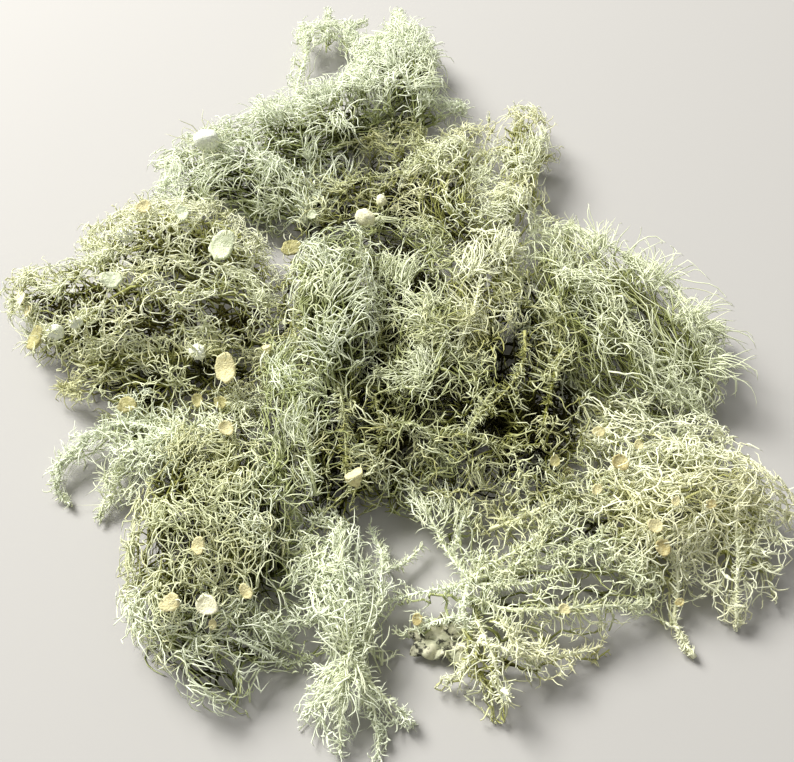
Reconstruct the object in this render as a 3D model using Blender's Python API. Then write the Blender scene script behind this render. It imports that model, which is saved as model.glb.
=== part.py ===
# Dried beard lichen: a loose tangle of tufts that lies on a flat surface.
# Every tuft is split at its main forks. A fork is drawn as the form that its fine
# branchlets reach: lumpy, tapering fronds that run together, with the longer locks
# that stand out of them and the fruiting discs, all fused to one solid.
# Places are in millimetres: x to the right, y away from the viewer, z up from the
# surface, and reach is how far the branchlets stand out round a frond's own course.
import math
import random

import bmesh
import bpy
from mathutils import Vector, noise

MM = 0.001
MIDDLE = Vector((-8.66, 36.71, 0.0))  # middle of the tangle, where the model's origin goes
SINK = 1.5  # mm by which the tufts settle on the surface, which presses them flat below
RING_STEP = 14.0  # mm between the rings of a frond
LUMP = 0.20  # lumps on a frond, as a share of its reach
LUMP_SIZE = 12.0  # mm from lump to lump
GAP = 0.7  # mm that a fork keeps from its neighbour, which leaves at least 0.3 mm at most facets
DISC_DEPTH = 0.42  # depth of a fruiting disc, as a share of its width
ROOTED = 0.9  # how far out a fruiting disc sits, as a share of the frond's reach
SMALL_DISC = 5.0  # mm of width up to which a fruiting disc has six sides and not eight
DISC_FOOT = 0.62  # width of a fruiting disc at its foot, as a share of its width
SOUND = 0.98  # share of the volume below which the result of a cut is not believed
MOST_CUT = 0.7  # share of the volume beyond which a cut is not believed
CLOSE = 0.02  # mm within which corners are one corner
FLAT = math.radians(4.0)  # faces that meet at less than this are joined, which saves slivers
LOCK_REACH = 3.0  # mm that a lock stands out of its frond
LOCK_DEPTH = 0.45  # how far out a lock is rooted, as a share of the frond's reach
LOCK_ROOT = 0.40  # thickness of a lock at its root, as a share of the frond's reach
LOCK_TIP = 0.4  # mm from the middle to the side of a lock's tip
LOCK_LOWEST = 1.0  # mm from the surface up to the lowest tip of a lock
LOCK_LEAN = 1.0  # how far a lock leans along its frond, as a share of the frond's reach


def clear_scene():
    for old in list(bpy.data.objects):
        bpy.data.objects.remove(old, do_unlink=True)


def collection(name, hidden=False):
    made = bpy.data.collections.new(name)
    bpy.context.scene.collection.children.link(made)
    made.hide_render = hidden
    return made


def finish(name, colour, roughness):
    made = bpy.data.materials.new(name)
    made.use_nodes = True
    shader = made.node_tree.nodes["Principled BSDF"]
    shader.inputs["Base Color"].default_value = (*colour, 1.0)
    shader.inputs["Roughness"].default_value = roughness
    shader.inputs["Metallic"].default_value = 0.0
    return made


def placed(name, mesh, home):
    made = bpy.data.objects.new(name, mesh)
    home.objects.link(made)
    return made


def guide(name, mesh):
    made = placed(name, mesh, CUTTERS)
    made.hide_render = True
    made.display_type = "WIRE"
    return made


def evaluated_mesh(thing):
    bpy.context.view_layer.update()
    graph = bpy.context.evaluated_depsgraph_get()
    return bpy.data.meshes.new_from_object(thing.evaluated_get(graph))


def smooth_course(points):
    # Rings at even steps along a smooth curve through the frond's own points.
    knots = [Vector((x, y, z - SINK, reach)) for x, y, z, reach in points]
    ends = [knots[0] * 2 - knots[1]] + knots + [knots[-1] * 2 - knots[-2]]
    rings = []
    for a, b, c, d in zip(ends, ends[1:], ends[2:], ends[3:]):
        length = (Vector(c[:3]) - Vector(b[:3])).length
        count = max(1, round(length / RING_STEP))
        for k in range(count):
            t = k / count
            bend = a * 2 - b * 5 + c * 4 - d
            swing = b * 3 - a - c * 3 + d
            rings.append((b * 2 + (c - a) * t + bend * t * t + swing * t ** 3) * 0.5)
    rings.append(knots[-1])
    return rings


def frond_mesh(points, grow):
    rings = smooth_course(points)
    for end, inner in ((0, 1), (-1, -2)):
        outward = (Vector(rings[end][:3]) - Vector(rings[inner][:3])).normalized() * grow
        rings[end] = rings[end] + Vector((*outward, 0.0))
    curve = bpy.data.curves.new("course", "CURVE")
    curve.dimensions = "3D"
    curve.bevel_depth = MM
    curve.bevel_resolution = 1
    curve.use_fill_caps = True
    curve.twist_mode = "Z_UP"
    line = curve.splines.new("POLY")
    line.points.add(len(rings) - 1)
    for point, (x, y, z, reach) in zip(line.points, rings):
        point.co = (x * MM, y * MM, z * MM, 1.0)
        point.radius = reach + grow
    drawn = placed("course", curve, CUTTERS)
    mesh = evaluated_mesh(drawn)
    bpy.data.objects.remove(drawn, do_unlink=True)
    bpy.data.curves.remove(curve)
    add_lumps(mesh, max(p[3] for p in points))
    return mesh


def add_lumps(mesh, reach):
    shape = bmesh.new()
    shape.from_mesh(mesh)
    bmesh.ops.remove_doubles(shape, verts=shape.verts, dist=CLOSE * MM)
    bmesh.ops.recalc_face_normals(shape, faces=shape.faces)
    for vert in shape.verts:
        push = noise.noise(vert.co / (LUMP_SIZE * MM)) * LUMP * reach * MM
        vert.co += vert.normal * push
    shape.to_mesh(mesh)
    shape.free()


def cone_mesh(sides, low, high, wide_low, wide_high):
    # A cone or a tapered prism from one point to another, in millimetres.
    shape = bmesh.new()
    along = (high - low) * MM
    bmesh.ops.create_cone(shape, cap_ends=True, segments=sides, radius1=wide_low * MM,
                          radius2=wide_high * MM, depth=along.length)
    turn = Vector((0, 0, 1)).rotation_difference(along.normalized()).to_matrix()
    bmesh.ops.rotate(shape, verts=shape.verts, cent=(0, 0, 0), matrix=turn)
    bmesh.ops.translate(shape, verts=shape.verts, vec=(low + high) * MM / 2)
    mesh = bpy.data.meshes.new("cone")
    shape.to_mesh(mesh)
    shape.free()
    return mesh


def disc_mesh(disc, fronds, grow):
    # A fruiting disc: a shallow cup, widest at its rim, that faces along lean. It is
    # drawn in towards the nearest course until it is rooted in the frond.
    x, y, z, width, lean = disc
    middle = Vector((x, y, z - SINK))
    rings = [ring for points in fronds for ring in smooth_course(points)]
    near = min(rings, key=lambda ring: (Vector(ring[:3]) - middle).length - ring[3])
    away = middle - Vector(near[:3])
    middle = Vector(near[:3]) + away.normalized() * min(away.length, ROOTED * near[3])
    facing = Vector(lean).normalized() * (width * DISC_DEPTH / 2 + grow)
    rim = width / 2 + grow
    sides = 8 if width > SMALL_DISC else 6
    return cone_mesh(sides, middle - facing, middle + facing, rim * DISC_FOOT, rim)


def lock_meshes(name, fronds, count, grow):
    # Locks of longer branchlets stand out of the fronds and lean towards their tips.
    dice = random.Random(name)
    made = []
    for k in range(count):
        course = smooth_course(fronds[k % len(fronds)])
        at = dice.randrange(len(course) - 1)
        x, y, z, reach = course[at]
        along = (Vector(course[at + 1][:3]) - Vector((x, y, z))).normalized()
        angle = dice.uniform(0.0, 2 * math.pi)
        out = Vector((math.cos(angle), math.sin(angle), dice.uniform(0.0, 0.8)))
        out = (out - along * out.dot(along)).normalized()
        if course[0][3] < course[-1][3]:
            along = -along
        root = Vector((x, y, z)) + out * reach * LOCK_DEPTH
        tip = Vector((x, y, z)) + out * (reach + LOCK_REACH) + along * reach * LOCK_LEAN
        tip.z = max(tip.z, LOCK_LOWEST)
        end = (tip - root).normalized() * grow
        made.append(cone_mesh(4, root - end, tip + end, reach * LOCK_ROOT + grow, LOCK_TIP + grow))
    return made


def volume_of(mesh):
    shape = bmesh.new()
    shape.from_mesh(mesh)
    size = shape.calc_volume()
    shape.free()
    return size


def plausible(before, other, after, operation):
    if operation == "UNION":
        return after > SOUND * max(before, other)
    least = max(SOUND * (before - other), (1.0 - MOST_CUT) * before)
    return least < after < before / SOUND


def boolean(target, other, operation):
    # The exact solver now and then drops most of a shape. The other solver then takes its place.
    before, beside = volume_of(target.data), volume_of(other.data)
    for solver in ("EXACT", "MANIFOLD"):
        step = target.modifiers.new(operation, "BOOLEAN")
        step.operation = operation
        step.solver = solver
        if solver == "EXACT":
            step.use_self = operation == "UNION"
        step.object = other
        mesh = evaluated_mesh(target)
        target.modifiers.clear()
        if plausible(before, beside, volume_of(mesh), operation):
            break
    target.data = mesh


def union(name, meshes):
    whole = guide(name, meshes[0])
    for mesh in meshes[1:]:
        other = guide("other", mesh)
        boolean(whole, other, "UNION")
        bpy.data.objects.remove(other, do_unlink=True)
    return whole


def box_of(thing):
    places = [vert.co for vert in thing.data.vertices]
    low = [min(place[k] for place in places) for k in range(3)]
    high = [max(place[k] for place in places) for k in range(3)]
    return low, high


def touching(one, other):
    (low, high), (other_low, other_high) = box_of(one), box_of(other)
    return all(low[k] < other_high[k] and other_low[k] < high[k] for k in range(3))


def keep_main_form(mesh):
    # A cut can leave chips beside the main form, or hanging on it by an edge alone.
    # They go, and so do needle-thin faces.
    shape = bmesh.new()
    shape.from_mesh(mesh)
    bmesh.ops.remove_doubles(shape, verts=shape.verts, dist=CLOSE * MM)
    bmesh.ops.dissolve_degenerate(shape, edges=shape.edges, dist=CLOSE * MM)
    bmesh.ops.dissolve_limit(shape, angle_limit=FLAT, verts=shape.verts, edges=shape.edges)
    bmesh.ops.triangulate(shape, faces=shape.faces)
    left = set(shape.faces)
    groups = []
    while left:
        stack = [left.pop()]
        group = list(stack)
        while stack:
            joins = [edge for edge in stack.pop().edges if len(edge.link_faces) == 2]
            for edge in joins:
                for face in edge.link_faces:
                    if face in left:
                        left.remove(face)
                        stack.append(face)
                        group.append(face)
        groups.append(group)
    groups.sort(key=lambda group: -sum(face.calc_area() for face in group))
    chips = [face for group in groups[1:] for face in group]
    for group in groups[1:]:
        print("chip of", round(sum(face.calc_area() for face in group) * 1e6), "square mm left out")
    bmesh.ops.delete(shape, geom=chips, context="FACES")
    loose = [vert for vert in shape.verts if not vert.link_faces]
    bmesh.ops.delete(shape, geom=loose, context="VERTS")
    bmesh.ops.recalc_face_normals(shape, faces=shape.faces)
    shape.to_mesh(mesh)
    shape.free()


def show(whole, material):
    CUTTERS.objects.unlink(whole)
    TANGLE.objects.link(whole)
    whole.hide_render = False
    whole.display_type = "TEXTURED"
    whole.data.materials.clear()
    whole.data.materials.append(material)


def fit_in(whole, material):
    # The surface presses it flat below, and it leaves room for what was built before it.
    boolean(whole, GROUND, "DIFFERENCE")
    for room in ROOMS:
        if touching(whole, room):
            boolean(whole, room, "DIFFERENCE")
    keep_main_form(whole.data)
    show(whole, material)


def fork(name, material, *fronds, discs=(), locks=3):
    whole, room = (
        union(label, [frond_mesh(f, grow) for f in fronds] + lock_meshes(name, fronds, locks, grow)
              + [disc_mesh(d, fronds, grow) for d in discs])
        for label, grow in ((name, 0.0), (name + "_room", GAP))
    )
    fit_in(whole, material)
    ROOMS.append(room)


clear_scene()
TANGLE = collection("beard_lichen_tangle")
CUTTERS = collection("cutters", hidden=True)
ROOMS = []

MINT = finish("mint_white_lichen", (0.60, 0.66, 0.52), 0.9)
YELLOW = finish("yellow_green_lichen", (0.55, 0.57, 0.36), 0.9)
OLIVE = finish("olive_lichen", (0.36, 0.38, 0.22), 0.9)
SAGE = finish("sage_lichen", (0.44, 0.50, 0.34), 0.9)
CREAM = finish("cream_lichen", (0.62, 0.61, 0.42), 0.9)
GREY = finish("grey_green_lichen", (0.40, 0.43, 0.33), 0.9)

BELOW, ABOUT = 200, 900  # mm of depth and reach of the block that stands for what it lies on
GROUND = guide("ground", cone_mesh(4, Vector((0, 0, -BELOW)), Vector((0, 0, 0)), ABOUT, ABOUT))

UP = (0.0, -0.45, 0.9)
FRONT = (0.0, -0.8, 0.6)
LEFT = (-0.6, -0.3, 0.75)


def curly_bundle():
    fork("curly_bundle", MINT,
         [(-18, 36, 22, 5), (-24, 26, 25, 9), (-24, 12, 27, 11), (-22, -2, 26, 11), (-18, -14, 22, 6)])


def pale_sprig():
    fork("pale_sprig", MINT,
         [(-36, 3, 17, 1.5), (-33, -7, 18, 4.5), (-29, -19, 17, 8), (-25, -31, 14, 9), (-22, -43, 10, 7),
          (-20, -49, 8, 3)],
         locks=4)


def bottom_tuft():
    fork("bottom_tuft_stem", MINT,
         [(-15, -54, 8, 2.5), (-14, -63, 9, 6), (-13, -74, 9, 8), (-13, -86, 8, 8), (-13, -95, 7, 7),
          (-14, -103, 5, 3.5), (-12, -108, 3, 1.2)],
         [(-13, -84, 6, 5), (-17, -93, 4.5, 4.5), (-22, -100, 2.8, 1.5)],
         [(-12, -84, 6, 6), (-4, -95, 4.5, 4.5), (4, -100, 2.8, 1.4)],
         [(-8, -92, 5, 3), (-4, -102, 3, 2), (-4, -107, 2.6, 1)],
         locks=4)
    fork("bottom_tuft_left_fork", MINT,
         [(-26, -55, 6, 3), (-23, -64, 6, 5.5), (-20, -74, 6, 6), (-17, -82, 5, 5)],
         locks=2)
    fork("bottom_tuft_right_fork", MINT,
         [(-2, -56, 6, 2.5), (-6, -66, 7, 6), (-6, -76, 6, 6.5), (-3, -85, 4, 4)],
         locks=2)


def bottom_right_tuft():
    fork("bottom_right_top_fork", MINT,
         [(5, -40, 7, 3), (9, -46, 7, 5.5), (14, -50, 7, 6.5), (17, -58, 7, 5), (18, -66, 7, 4.5),
          (18, -75, 6, 4.5)],
         [(20, -43, 7, 3), (14, -53, 7, 5)])
    fork("bottom_right_left_forks", MINT,
         [(13.5, -70, 7, 4), (8, -70, 7, 3.5), (-1, -72, 6, 3)],
         [(13, -68.5, 7, 3), (12, -74, 6, 3.2), (8, -77, 5, 2.6), (2, -79, 3.5, 1.5)],
         locks=2)
    fork("bottom_right_far_fork", SAGE,
         [(18, -67, 8, 4), (30, -60, 8, 5.5), (42, -56, 9, 7), (54, -52, 9, 7), (62, -47, 8, 4)],
         [(22, -52, 7, 3), (33, -49, 8, 7), (44, -47, 9, 8), (54, -50, 8, 5)],
         [(28, -50, 8, 5), (31, -60, 8, 5)])
    fork("bottom_right_middle_fork", SAGE,
         [(22, -70, 7, 5), (34, -70, 7, 7.5), (48, -69, 7, 8.5), (58, -69, 6, 5.5), (66, -71, 3.5, 1.5)],
         discs=[(43, -77, 6, 3, FRONT)])
    fork("bottom_right_front_fork", CREAM,
         [(20, -77, 7, 6), (23, -85, 7, 8), (24, -92, 5, 4.5), (24, -98, 3, 1.6)],
         [(20, -86, 6, 6), (34, -86, 5, 5), (46, -84, 4, 3.5), (51, -81, 3, 1.2)],
         [(10, -91, 3, 1.2), (16, -89, 4.5, 3.5), (26, -87, 5, 4)],
         discs=[(24, -96, 4, 4, FRONT)])


def right_low_tuft():
    fork("right_low_back_fork", CREAM,
         [(51, -23, 9, 4), (60, -27, 10, 7.5), (70, -32, 11, 9.5), (80, -31, 10, 9), (89, -26, 8, 4)],
         [(75, -19, 8, 3), (79, -33, 10, 7)],
         discs=[(53, -24, 13, 4, UP), (61, -33, 17, 6, UP), (49, -30, 11, 3.5, UP)])
    fork("right_low_body", CREAM,
         [(55, -41, 11, 8), (66, -50, 12, 11.5), (76, -46, 12, 12), (86, -44, 11, 12), (95, -46, 9, 8),
          (102, -49, 6, 2.5)],
         discs=[(69, -56, 21, 5, UP), (70, -61, 18, 4.5, UP), (83, -50, 22, 3.5, UP)])
    fork("right_low_front_fork", CREAM,
         [(86, -50, 8, 8.5), (85, -63, 7, 6.5), (84, -71, 4.5, 4), (85, -76, 2.8, 1.1)],
         [(88, -58, 7, 6), (96, -60, 6, 6), (94, -69, 4, 2)])
    fork("right_low_left_fork", CREAM,
         [(58, -50, 9, 8), (66, -60, 8, 8.5), (73, -67, 5, 2.5)],
         [(66, -58, 7, 6), (70, -68, 5, 3), (69, -76, 3.5, 1.8), (73, -84, 2.8, 1.1)],
         locks=2)


def lower_left_tuft():
    fork("lower_left_tails", MINT,
         [(-89, -42, 2.8, 1.1), (-93, -38, 3.4, 1.6), (-91, -30, 5, 3.5), (-84, -24, 6, 4.5),
          (-75, -22, 7, 6), (-65, -25, 8, 8), (-56, -28, 9, 8)],
         [(-80, -46, 2.8, 1.2), (-76, -40, 4, 3.2), (-76, -33, 5, 4.5), (-68, -29, 7, 7),
          (-58, -28, 9, 8)],
         locks=4)
    fork("lower_left_top_fork", YELLOW,
         [(-60, -14, 6, 3), (-52, -18, 8, 6.5), (-44, -18, 8, 7), (-37, -20, 6, 3.5)],
         [(-47, -14, 8, 6), (-46, -32, 10, 9)],
         discs=[(-47, -22, 15, 6, UP)])
    fork("lower_left_right_fork", MINT,
         [(-38, -30, 10, 7), (-35, -43, 11, 9.5), (-34, -56, 11, 10), (-33, -68, 9, 8.5), (-26, -74, 7, 4)],
         [(-24, -53, 7, 4), (-33, -61, 9, 8.5)],
         locks=2)
    fork("lower_left_front_fork", MINT,
         [(-61, -67, 7, 7), (-57, -78, 7, 8), (-47, -86, 7, 8), (-40, -91, 6, 5), (-37, -95, 3.5, 2)],
         [(-50, -80, 7, 8), (-38, -82, 7, 7.5), (-31, -83, 6, 4)],
         [(-38, -83, 5, 3), (-32, -85, 4, 2), (-27, -86, 3.5, 1.4), (-21, -84, 3.5, 1.2)],
         discs=[(-56, -72, 14, 5.5, FRONT), (-47, -76, 15, 6, FRONT)])
    fork("lower_left_body", OLIVE,
         [(-54, -34, 10, 11), (-54, -48, 12, 12.5), (-53, -62, 12, 13), (-50, -74, 11, 11)],
         [(-44, -38, 10, 10), (-43, -56, 12, 11), (-43, -70, 10, 9)],
         discs=[(-50, -60, 25, 4.5, UP), (-39, -68, 17, 4, FRONT)])


def left_tuft():
    fork("left_tuft_arm", YELLOW,
         [(-119, 30, 7, 3), (-112, 26, 8, 8.5), (-103, 22, 11, 11.5), (-92, 22, 12, 13), (-82, 24, 14, 12)],
         [(-105, 7, 6, 4), (-99, 10, 8, 8.5), (-88, 15, 11, 11)],
         discs=[(-114, 24, 17, 4.5, LEFT), (-110, 19, 16, 4, LEFT), (-104, 7, 13, 7, LEFT),
                (-97, 10, 17, 5.5, LEFT), (-94, 15, 22, 4, UP)],
         locks=4)
    fork("left_tuft_back_fork", CREAM,
         [(-98, 50, 8, 2.5), (-91, 45, 11, 8), (-81, 43, 14, 12), (-68, 42, 15, 14), (-54, 38, 13, 12),
          (-43, 33, 10, 7)],
         [(-84, 62, 10, 2.5), (-79, 54, 12, 8), (-72, 44, 14, 11)],
         [(-58, 58, 11, 5), (-61, 44, 13, 10)],
         discs=[(-87, 42, 25, 5.5, UP), (-66, 46, 29, 5, UP), (-55, 34, 27, 10, UP),
                (-78, 50, 23, 4.5, UP)],
         locks=4)
    fork("left_tuft_front_fork", OLIVE,
         [(-97, -2, 6, 4), (-86, -4, 8, 9), (-74, -6, 9, 10), (-60, -5, 10, 11), (-48, -6, 10, 10),
          (-40, -5, 8, 5)],
         [(-77, -6, 8, 8), (-72, -12, 7, 7), (-65, -17, 5, 4)],
         discs=[(-57, -1, 21, 5.5, FRONT), (-49, -7, 18, 8, FRONT), (-39, -4, 14, 4.5, FRONT),
                (-76, -15, 10, 6, FRONT)],
         locks=2)
    fork("left_tuft_body", YELLOW,
         [(-88, 8, 12, 12), (-74, 13, 15, 15), (-60, 15, 15, 15), (-47, 15, 13, 12), (-37, 10, 10, 6)],
         discs=[(-88, 20, 26, 6, UP)])


def back_tuft():
    fork("back_tuft_loop", MINT,
         [(-36, 110, 10, 5), (-37, 128, 8, 4), (-35, 144, 8, 4.5), (-36, 157, 8, 4.5), (-39, 170, 7, 1.5)],
         [(-38, 156, 8, 3.5), (-30, 163, 8, 5), (-21, 162, 8, 5), (-16, 150, 8, 4.5), (-14, 137, 9, 5),
          (-14, 122, 9, 7)],
         [(-27, 156, 8, 4), (-28, 170, 8, 3), (-28, 182, 7, 1.2)],
         [(-20, 154, 8, 4), (-18, 166, 8, 3), (-13, 173, 7, 1.2)],
         locks=3)
    fork("back_tuft_right_fork", MINT,
         [(1, 179, 9, 1.2), (1, 166, 10, 4), (4, 149, 10, 9), (5, 136, 11, 11.5), (5, 122, 12, 12),
          (0, 106, 12, 13)],
         [(-6, 160, 8, 2), (-7, 146, 10, 6), (-2, 132, 11, 9)],
         [(24, 119, 8, 2), (18, 113, 9, 5), (4, 107, 11, 7)],
         locks=4)
    fork("back_tuft_body", MINT,
         [(-77, 83, 9, 6), (-66, 84, 11, 10), (-50, 88, 12, 12.5), (-34, 94, 12, 14), (-17, 99, 13, 15)],
         [(-78, 71, 8, 4), (-66, 71, 9, 9), (-52, 73, 11, 12), (-38, 71, 10, 11), (-29, 60, 8, 5)],
         [(-48, 116, 9, 3.5), (-41, 98, 11, 9)],
         [(-14, 118, 11, 10), (-22, 102, 12, 12)],
         discs=[(-66, 88, 20, 8, UP)],
         locks=4)


def back_right_tuft():
    fork("back_right_outer_fork", YELLOW,
         [(47, 116, 8, 2), (45, 104, 10, 7.5), (44, 92, 10, 10), (42, 78, 10, 8.5), (39, 64, 11, 9),
          (35, 52, 12, 11)],
         [(55, 92, 8, 2.5), (44, 92, 10, 7)],
         [(49, 68, 8, 2.5), (42, 80, 10, 6)],
         locks=4)
    fork("back_right_inner_fork", YELLOW,
         [(25, 107, 8, 2), (23, 96, 9, 6), (20, 84, 10, 9), (16, 72, 11, 10), (16, 58, 12, 11.5),
          (24, 47, 13, 12)],
         [(33, 110, 8, 2), (32, 98, 9, 4.5), (31, 84, 10, 5), (22, 70, 10, 5)],
         locks=4)
    fork("back_right_dark_fork", OLIVE,
         [(4, 98, 7, 4), (6, 86, 8, 8.5), (5, 74, 8, 10), (0, 62, 9, 11)],
         [(5, 68, 8, 9), (-14, 64, 8, 10), (-27, 56, 8, 8)],
         locks=2,
         discs=[(-7, 59, 17, 6, UP), (-3, 66, 17, 4, UP), (-25, 52, 13, 6.5, UP), (-24, 60, 16, 3.5, UP)])


def centre_tuft():
    fork("centre_pale_fork", CREAM,
         [(33, 42, 16, 7), (28, 30, 19, 9), (22, 16, 20, 10), (15, 3, 18, 9), (10, -8, 15, 5)],
         locks=4)
    fork("centre_left_fork", OLIVE,
         [(-30, 40, 8, 6), (-20, 30, 10, 10), (-14, 14, 11, 12), (-12, -4, 11, 13), (-12, -22, 11, 13),
          (-14, -38, 9, 9), (-18, -46, 6, 4)],
         discs=[(-13, -40, 14, 6.5, FRONT)])
    fork("centre_middle_fork", SAGE,
         [(-8, 46, 10, 9), (2, 36, 12, 12), (6, 22, 13, 13), (8, 6, 13, 14), (8, -10, 13, 14),
          (2, -26, 12, 12), (-2, -38, 8, 7)],
         locks=2)
    fork("centre_right_fork", OLIVE,
         [(34, 30, 10, 11), (32, 14, 12, 13), (30, -2, 12, 13), (26, -18, 12, 13), (18, -30, 11, 11),
          (12, -38, 8, 6)],
         [(46, -6, 11, 10), (40, -22, 11, 12), (34, -36, 9, 10)],
         [(24, -12, 11, 10), (40, -24, 10, 10)])


def right_mass():
    fork("right_mass_upper_fork", SAGE,
         [(57, 57, 8, 2), (53, 47, 10, 7), (59, 36, 12, 9), (67, 25, 12, 12), (75, 13, 12, 12.5),
          (84, 1, 10, 11), (91, -10, 7, 4)],
         [(76, 40, 8, 3), (68, 28, 11, 7)],
         [(99, 13, 6, 1.4), (92, 11, 8, 5), (80, 8, 10, 8)],
         locks=2)
    fork("right_mass_lower_fork", SAGE,
         [(46, 38, 11, 9), (49, 25, 11, 11.5), (54, 11, 13, 14), (60, -3, 13, 13.5), (70, -12, 10, 10),
          (84, -15, 7, 4)],
         locks=2)


def ruffled_scrap():
    # A torn scrap of a leafy lichen, caught under the tuft: thin, lobed and wavy.
    width, depth, thickness, height = 17.0, 11.0, 1.1, 2.4
    big_lobes, small_lobes, ruffle, ruffle_size = 0.16, 0.08, 1.4, 4.5
    place = Vector((11.5, -79.5, 0.0))
    shape = bmesh.new()
    bmesh.ops.create_circle(shape, cap_ends=True, cap_tris=True, segments=18, radius=0.5)
    for vert in shape.verts:
        angle = math.atan2(vert.co.y, vert.co.x)
        lobe = 1.0 + big_lobes * math.sin(angle * 5.0 + 1.0) + small_lobes * math.sin(angle * 3.0)
        vert.co.x *= width * lobe
        vert.co.y *= depth * lobe
        vert.co.z = ruffle * noise.noise(vert.co / ruffle_size) + height
    rims = bmesh.ops.extrude_face_region(shape, geom=list(shape.faces))
    for vert in (g for g in rims["geom"] if isinstance(g, bmesh.types.BMVert)):
        vert.co.z += thickness
    bmesh.ops.recalc_face_normals(shape, faces=shape.faces)
    for vert in shape.verts:
        vert.co = (vert.co + place) * MM
    mesh = bpy.data.meshes.new("scrap")
    shape.to_mesh(mesh)
    shape.free()
    whole = guide("ruffled_scrap", mesh)
    fit_in(whole, GREY)


curly_bundle()
pale_sprig()
bottom_tuft()
bottom_right_tuft()
right_low_tuft()
lower_left_tuft()
left_tuft()
back_tuft()
back_right_tuft()
centre_tuft()
right_mass()
ruffled_scrap()

for part in TANGLE.objects:
    for vert in part.data.vertices:
        vert.co -= MIDDLE * MM
boxes = [box_of(part) for part in TANGLE.objects]
print(len(boxes), "pieces,", sum(len(part.data.polygons) for part in TANGLE.objects), "triangles")
for label, side, pick in (("lowest corner", 0, min), ("highest corner", 1, max)):
    print(label, [round(pick(box[side][k] for box in boxes) / MM, 2) for k in range(3)], "mm")
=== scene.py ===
import math

import bpy
import numpy as np
from mathutils import Matrix, Vector, noise


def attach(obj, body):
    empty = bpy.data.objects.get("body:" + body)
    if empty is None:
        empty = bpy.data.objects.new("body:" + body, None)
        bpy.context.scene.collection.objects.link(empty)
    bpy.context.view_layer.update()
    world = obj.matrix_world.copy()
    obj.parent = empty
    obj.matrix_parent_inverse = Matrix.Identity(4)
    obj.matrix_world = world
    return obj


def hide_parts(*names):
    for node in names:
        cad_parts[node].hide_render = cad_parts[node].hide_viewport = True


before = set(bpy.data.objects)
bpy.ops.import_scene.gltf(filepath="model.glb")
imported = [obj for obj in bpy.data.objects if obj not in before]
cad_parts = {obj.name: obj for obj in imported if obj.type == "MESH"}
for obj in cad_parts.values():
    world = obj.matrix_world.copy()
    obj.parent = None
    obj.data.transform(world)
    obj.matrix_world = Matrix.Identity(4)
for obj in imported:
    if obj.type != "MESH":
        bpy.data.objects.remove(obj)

# Dried beard lichen: a loose tangle of tufts. Lengths are in millimetres until a mesh is
# built: x to the right, y away from the viewer, z up. A frond is a list of (x, y, z, reach),
# where reach is how far the branchlets stand out round the frond's own course.
mm = 0.001
middle = np.array([-8.66, 36.71, 0.0])  # middle of the tangle, where the origin is
sink = 1.5  # the tufts settle by this much
floorGap = 0.25  # lowest that a strand's middle comes to the surface
root = "root"  # the one body
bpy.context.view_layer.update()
strandTotal = {"triangles": 0, "strands": 0}


class Val:
    # A shader socket that takes plain arithmetic.
    def __init__(self, tree, socket):
        self.tree = tree
        self.socket = socket

    def maths(self, operation, first, second):
        node = self.tree.nodes.new("ShaderNodeMath")
        node.operation = operation
        for place, value in zip(node.inputs, (first, second)):
            if isinstance(value, Val):
                self.tree.links.new(value.socket, place)
            else:
                place.default_value = value
        return Val(self.tree, node.outputs[0])

    def __add__(self, other):
        return self.maths("ADD", self, other)

    def __radd__(self, other):
        return self.maths("ADD", other, self)

    def __sub__(self, other):
        return self.maths("SUBTRACT", self, other)

    def __rsub__(self, other):
        return self.maths("SUBTRACT", other, self)

    def __mul__(self, other):
        return self.maths("MULTIPLY", self, other)

    def __rmul__(self, other):
        return self.maths("MULTIPLY", other, self)


class Shader:
    # One material and the few kinds of node that it needs.
    def __init__(self, name):
        self.material = bpy.data.materials.new(name)
        self.material.use_nodes = True
        self.tree = self.material.node_tree
        self.main = self.tree.nodes["Principled BSDF"]

    def put(self, place, value):
        if isinstance(value, Val):
            self.tree.links.new(value.socket, place)
        else:
            place.default_value = value

    def add(self, kind, output, settings=(), **inputs):
        node = self.tree.nodes.new(kind)
        for key, value in dict(settings).items():
            setattr(node, key, value)
        for key, value in inputs.items():
            self.put(node.inputs[key.replace("_", " ")], value)
        return Val(self.tree, node.outputs[output])

    def attribute(self, name):
        return self.add("ShaderNodeAttribute", "Fac", {"attribute_name": name})

    def mix(self, factor, first, second):
        node = self.tree.nodes.new("ShaderNodeMix")
        node.data_type = "RGBA"
        self.put(node.inputs[0], factor)
        self.put(node.inputs[6], first if isinstance(first, Val) else (*first, 1.0))
        self.put(node.inputs[7], second if isinstance(second, Val) else (*second, 1.0))
        return Val(self.tree, node.outputs[2])

    def ramp(self, value, low, high):
        # 0 below low, 1 above high, smooth between
        settings = {"interpolation_type": "SMOOTHSTEP"}
        return self.add("ShaderNodeMapRange", "Result", settings, Value=value, From_Min=low, From_Max=high)

    def principled(self, colour, roughness, specular=0.25):
        self.put(self.main.inputs["Base Color"], colour if isinstance(colour, Val) else (*colour, 1.0))
        self.put(self.main.inputs["Roughness"], roughness)
        self.main.inputs["Specular IOR Level"].default_value = specular
        return self.material


# lichen strands: shade runs from deep inside (0) to a lit tip (1), hue from cool to warm; the near-black deep colour at
# low shade is painted shade, partly the dark olive of the inner stems
def lichenMaterial(name, pale, mid, deep, warm, warmth=0.45):
    made = Shader(name)
    shade = made.attribute("shade")
    hue = made.attribute("hue")
    body = made.mix(made.ramp(shade, 0.0, 0.5), deep, mid)
    lit = made.mix(made.ramp(shade, 0.38, 1.0), body, pale)
    tinted = made.mix(made.ramp(hue, 0.35, 1.0) * warmth * made.ramp(shade, 0.1, 0.7), lit, warm)
    return made.principled(tinted, 0.85, 0.08)


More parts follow.
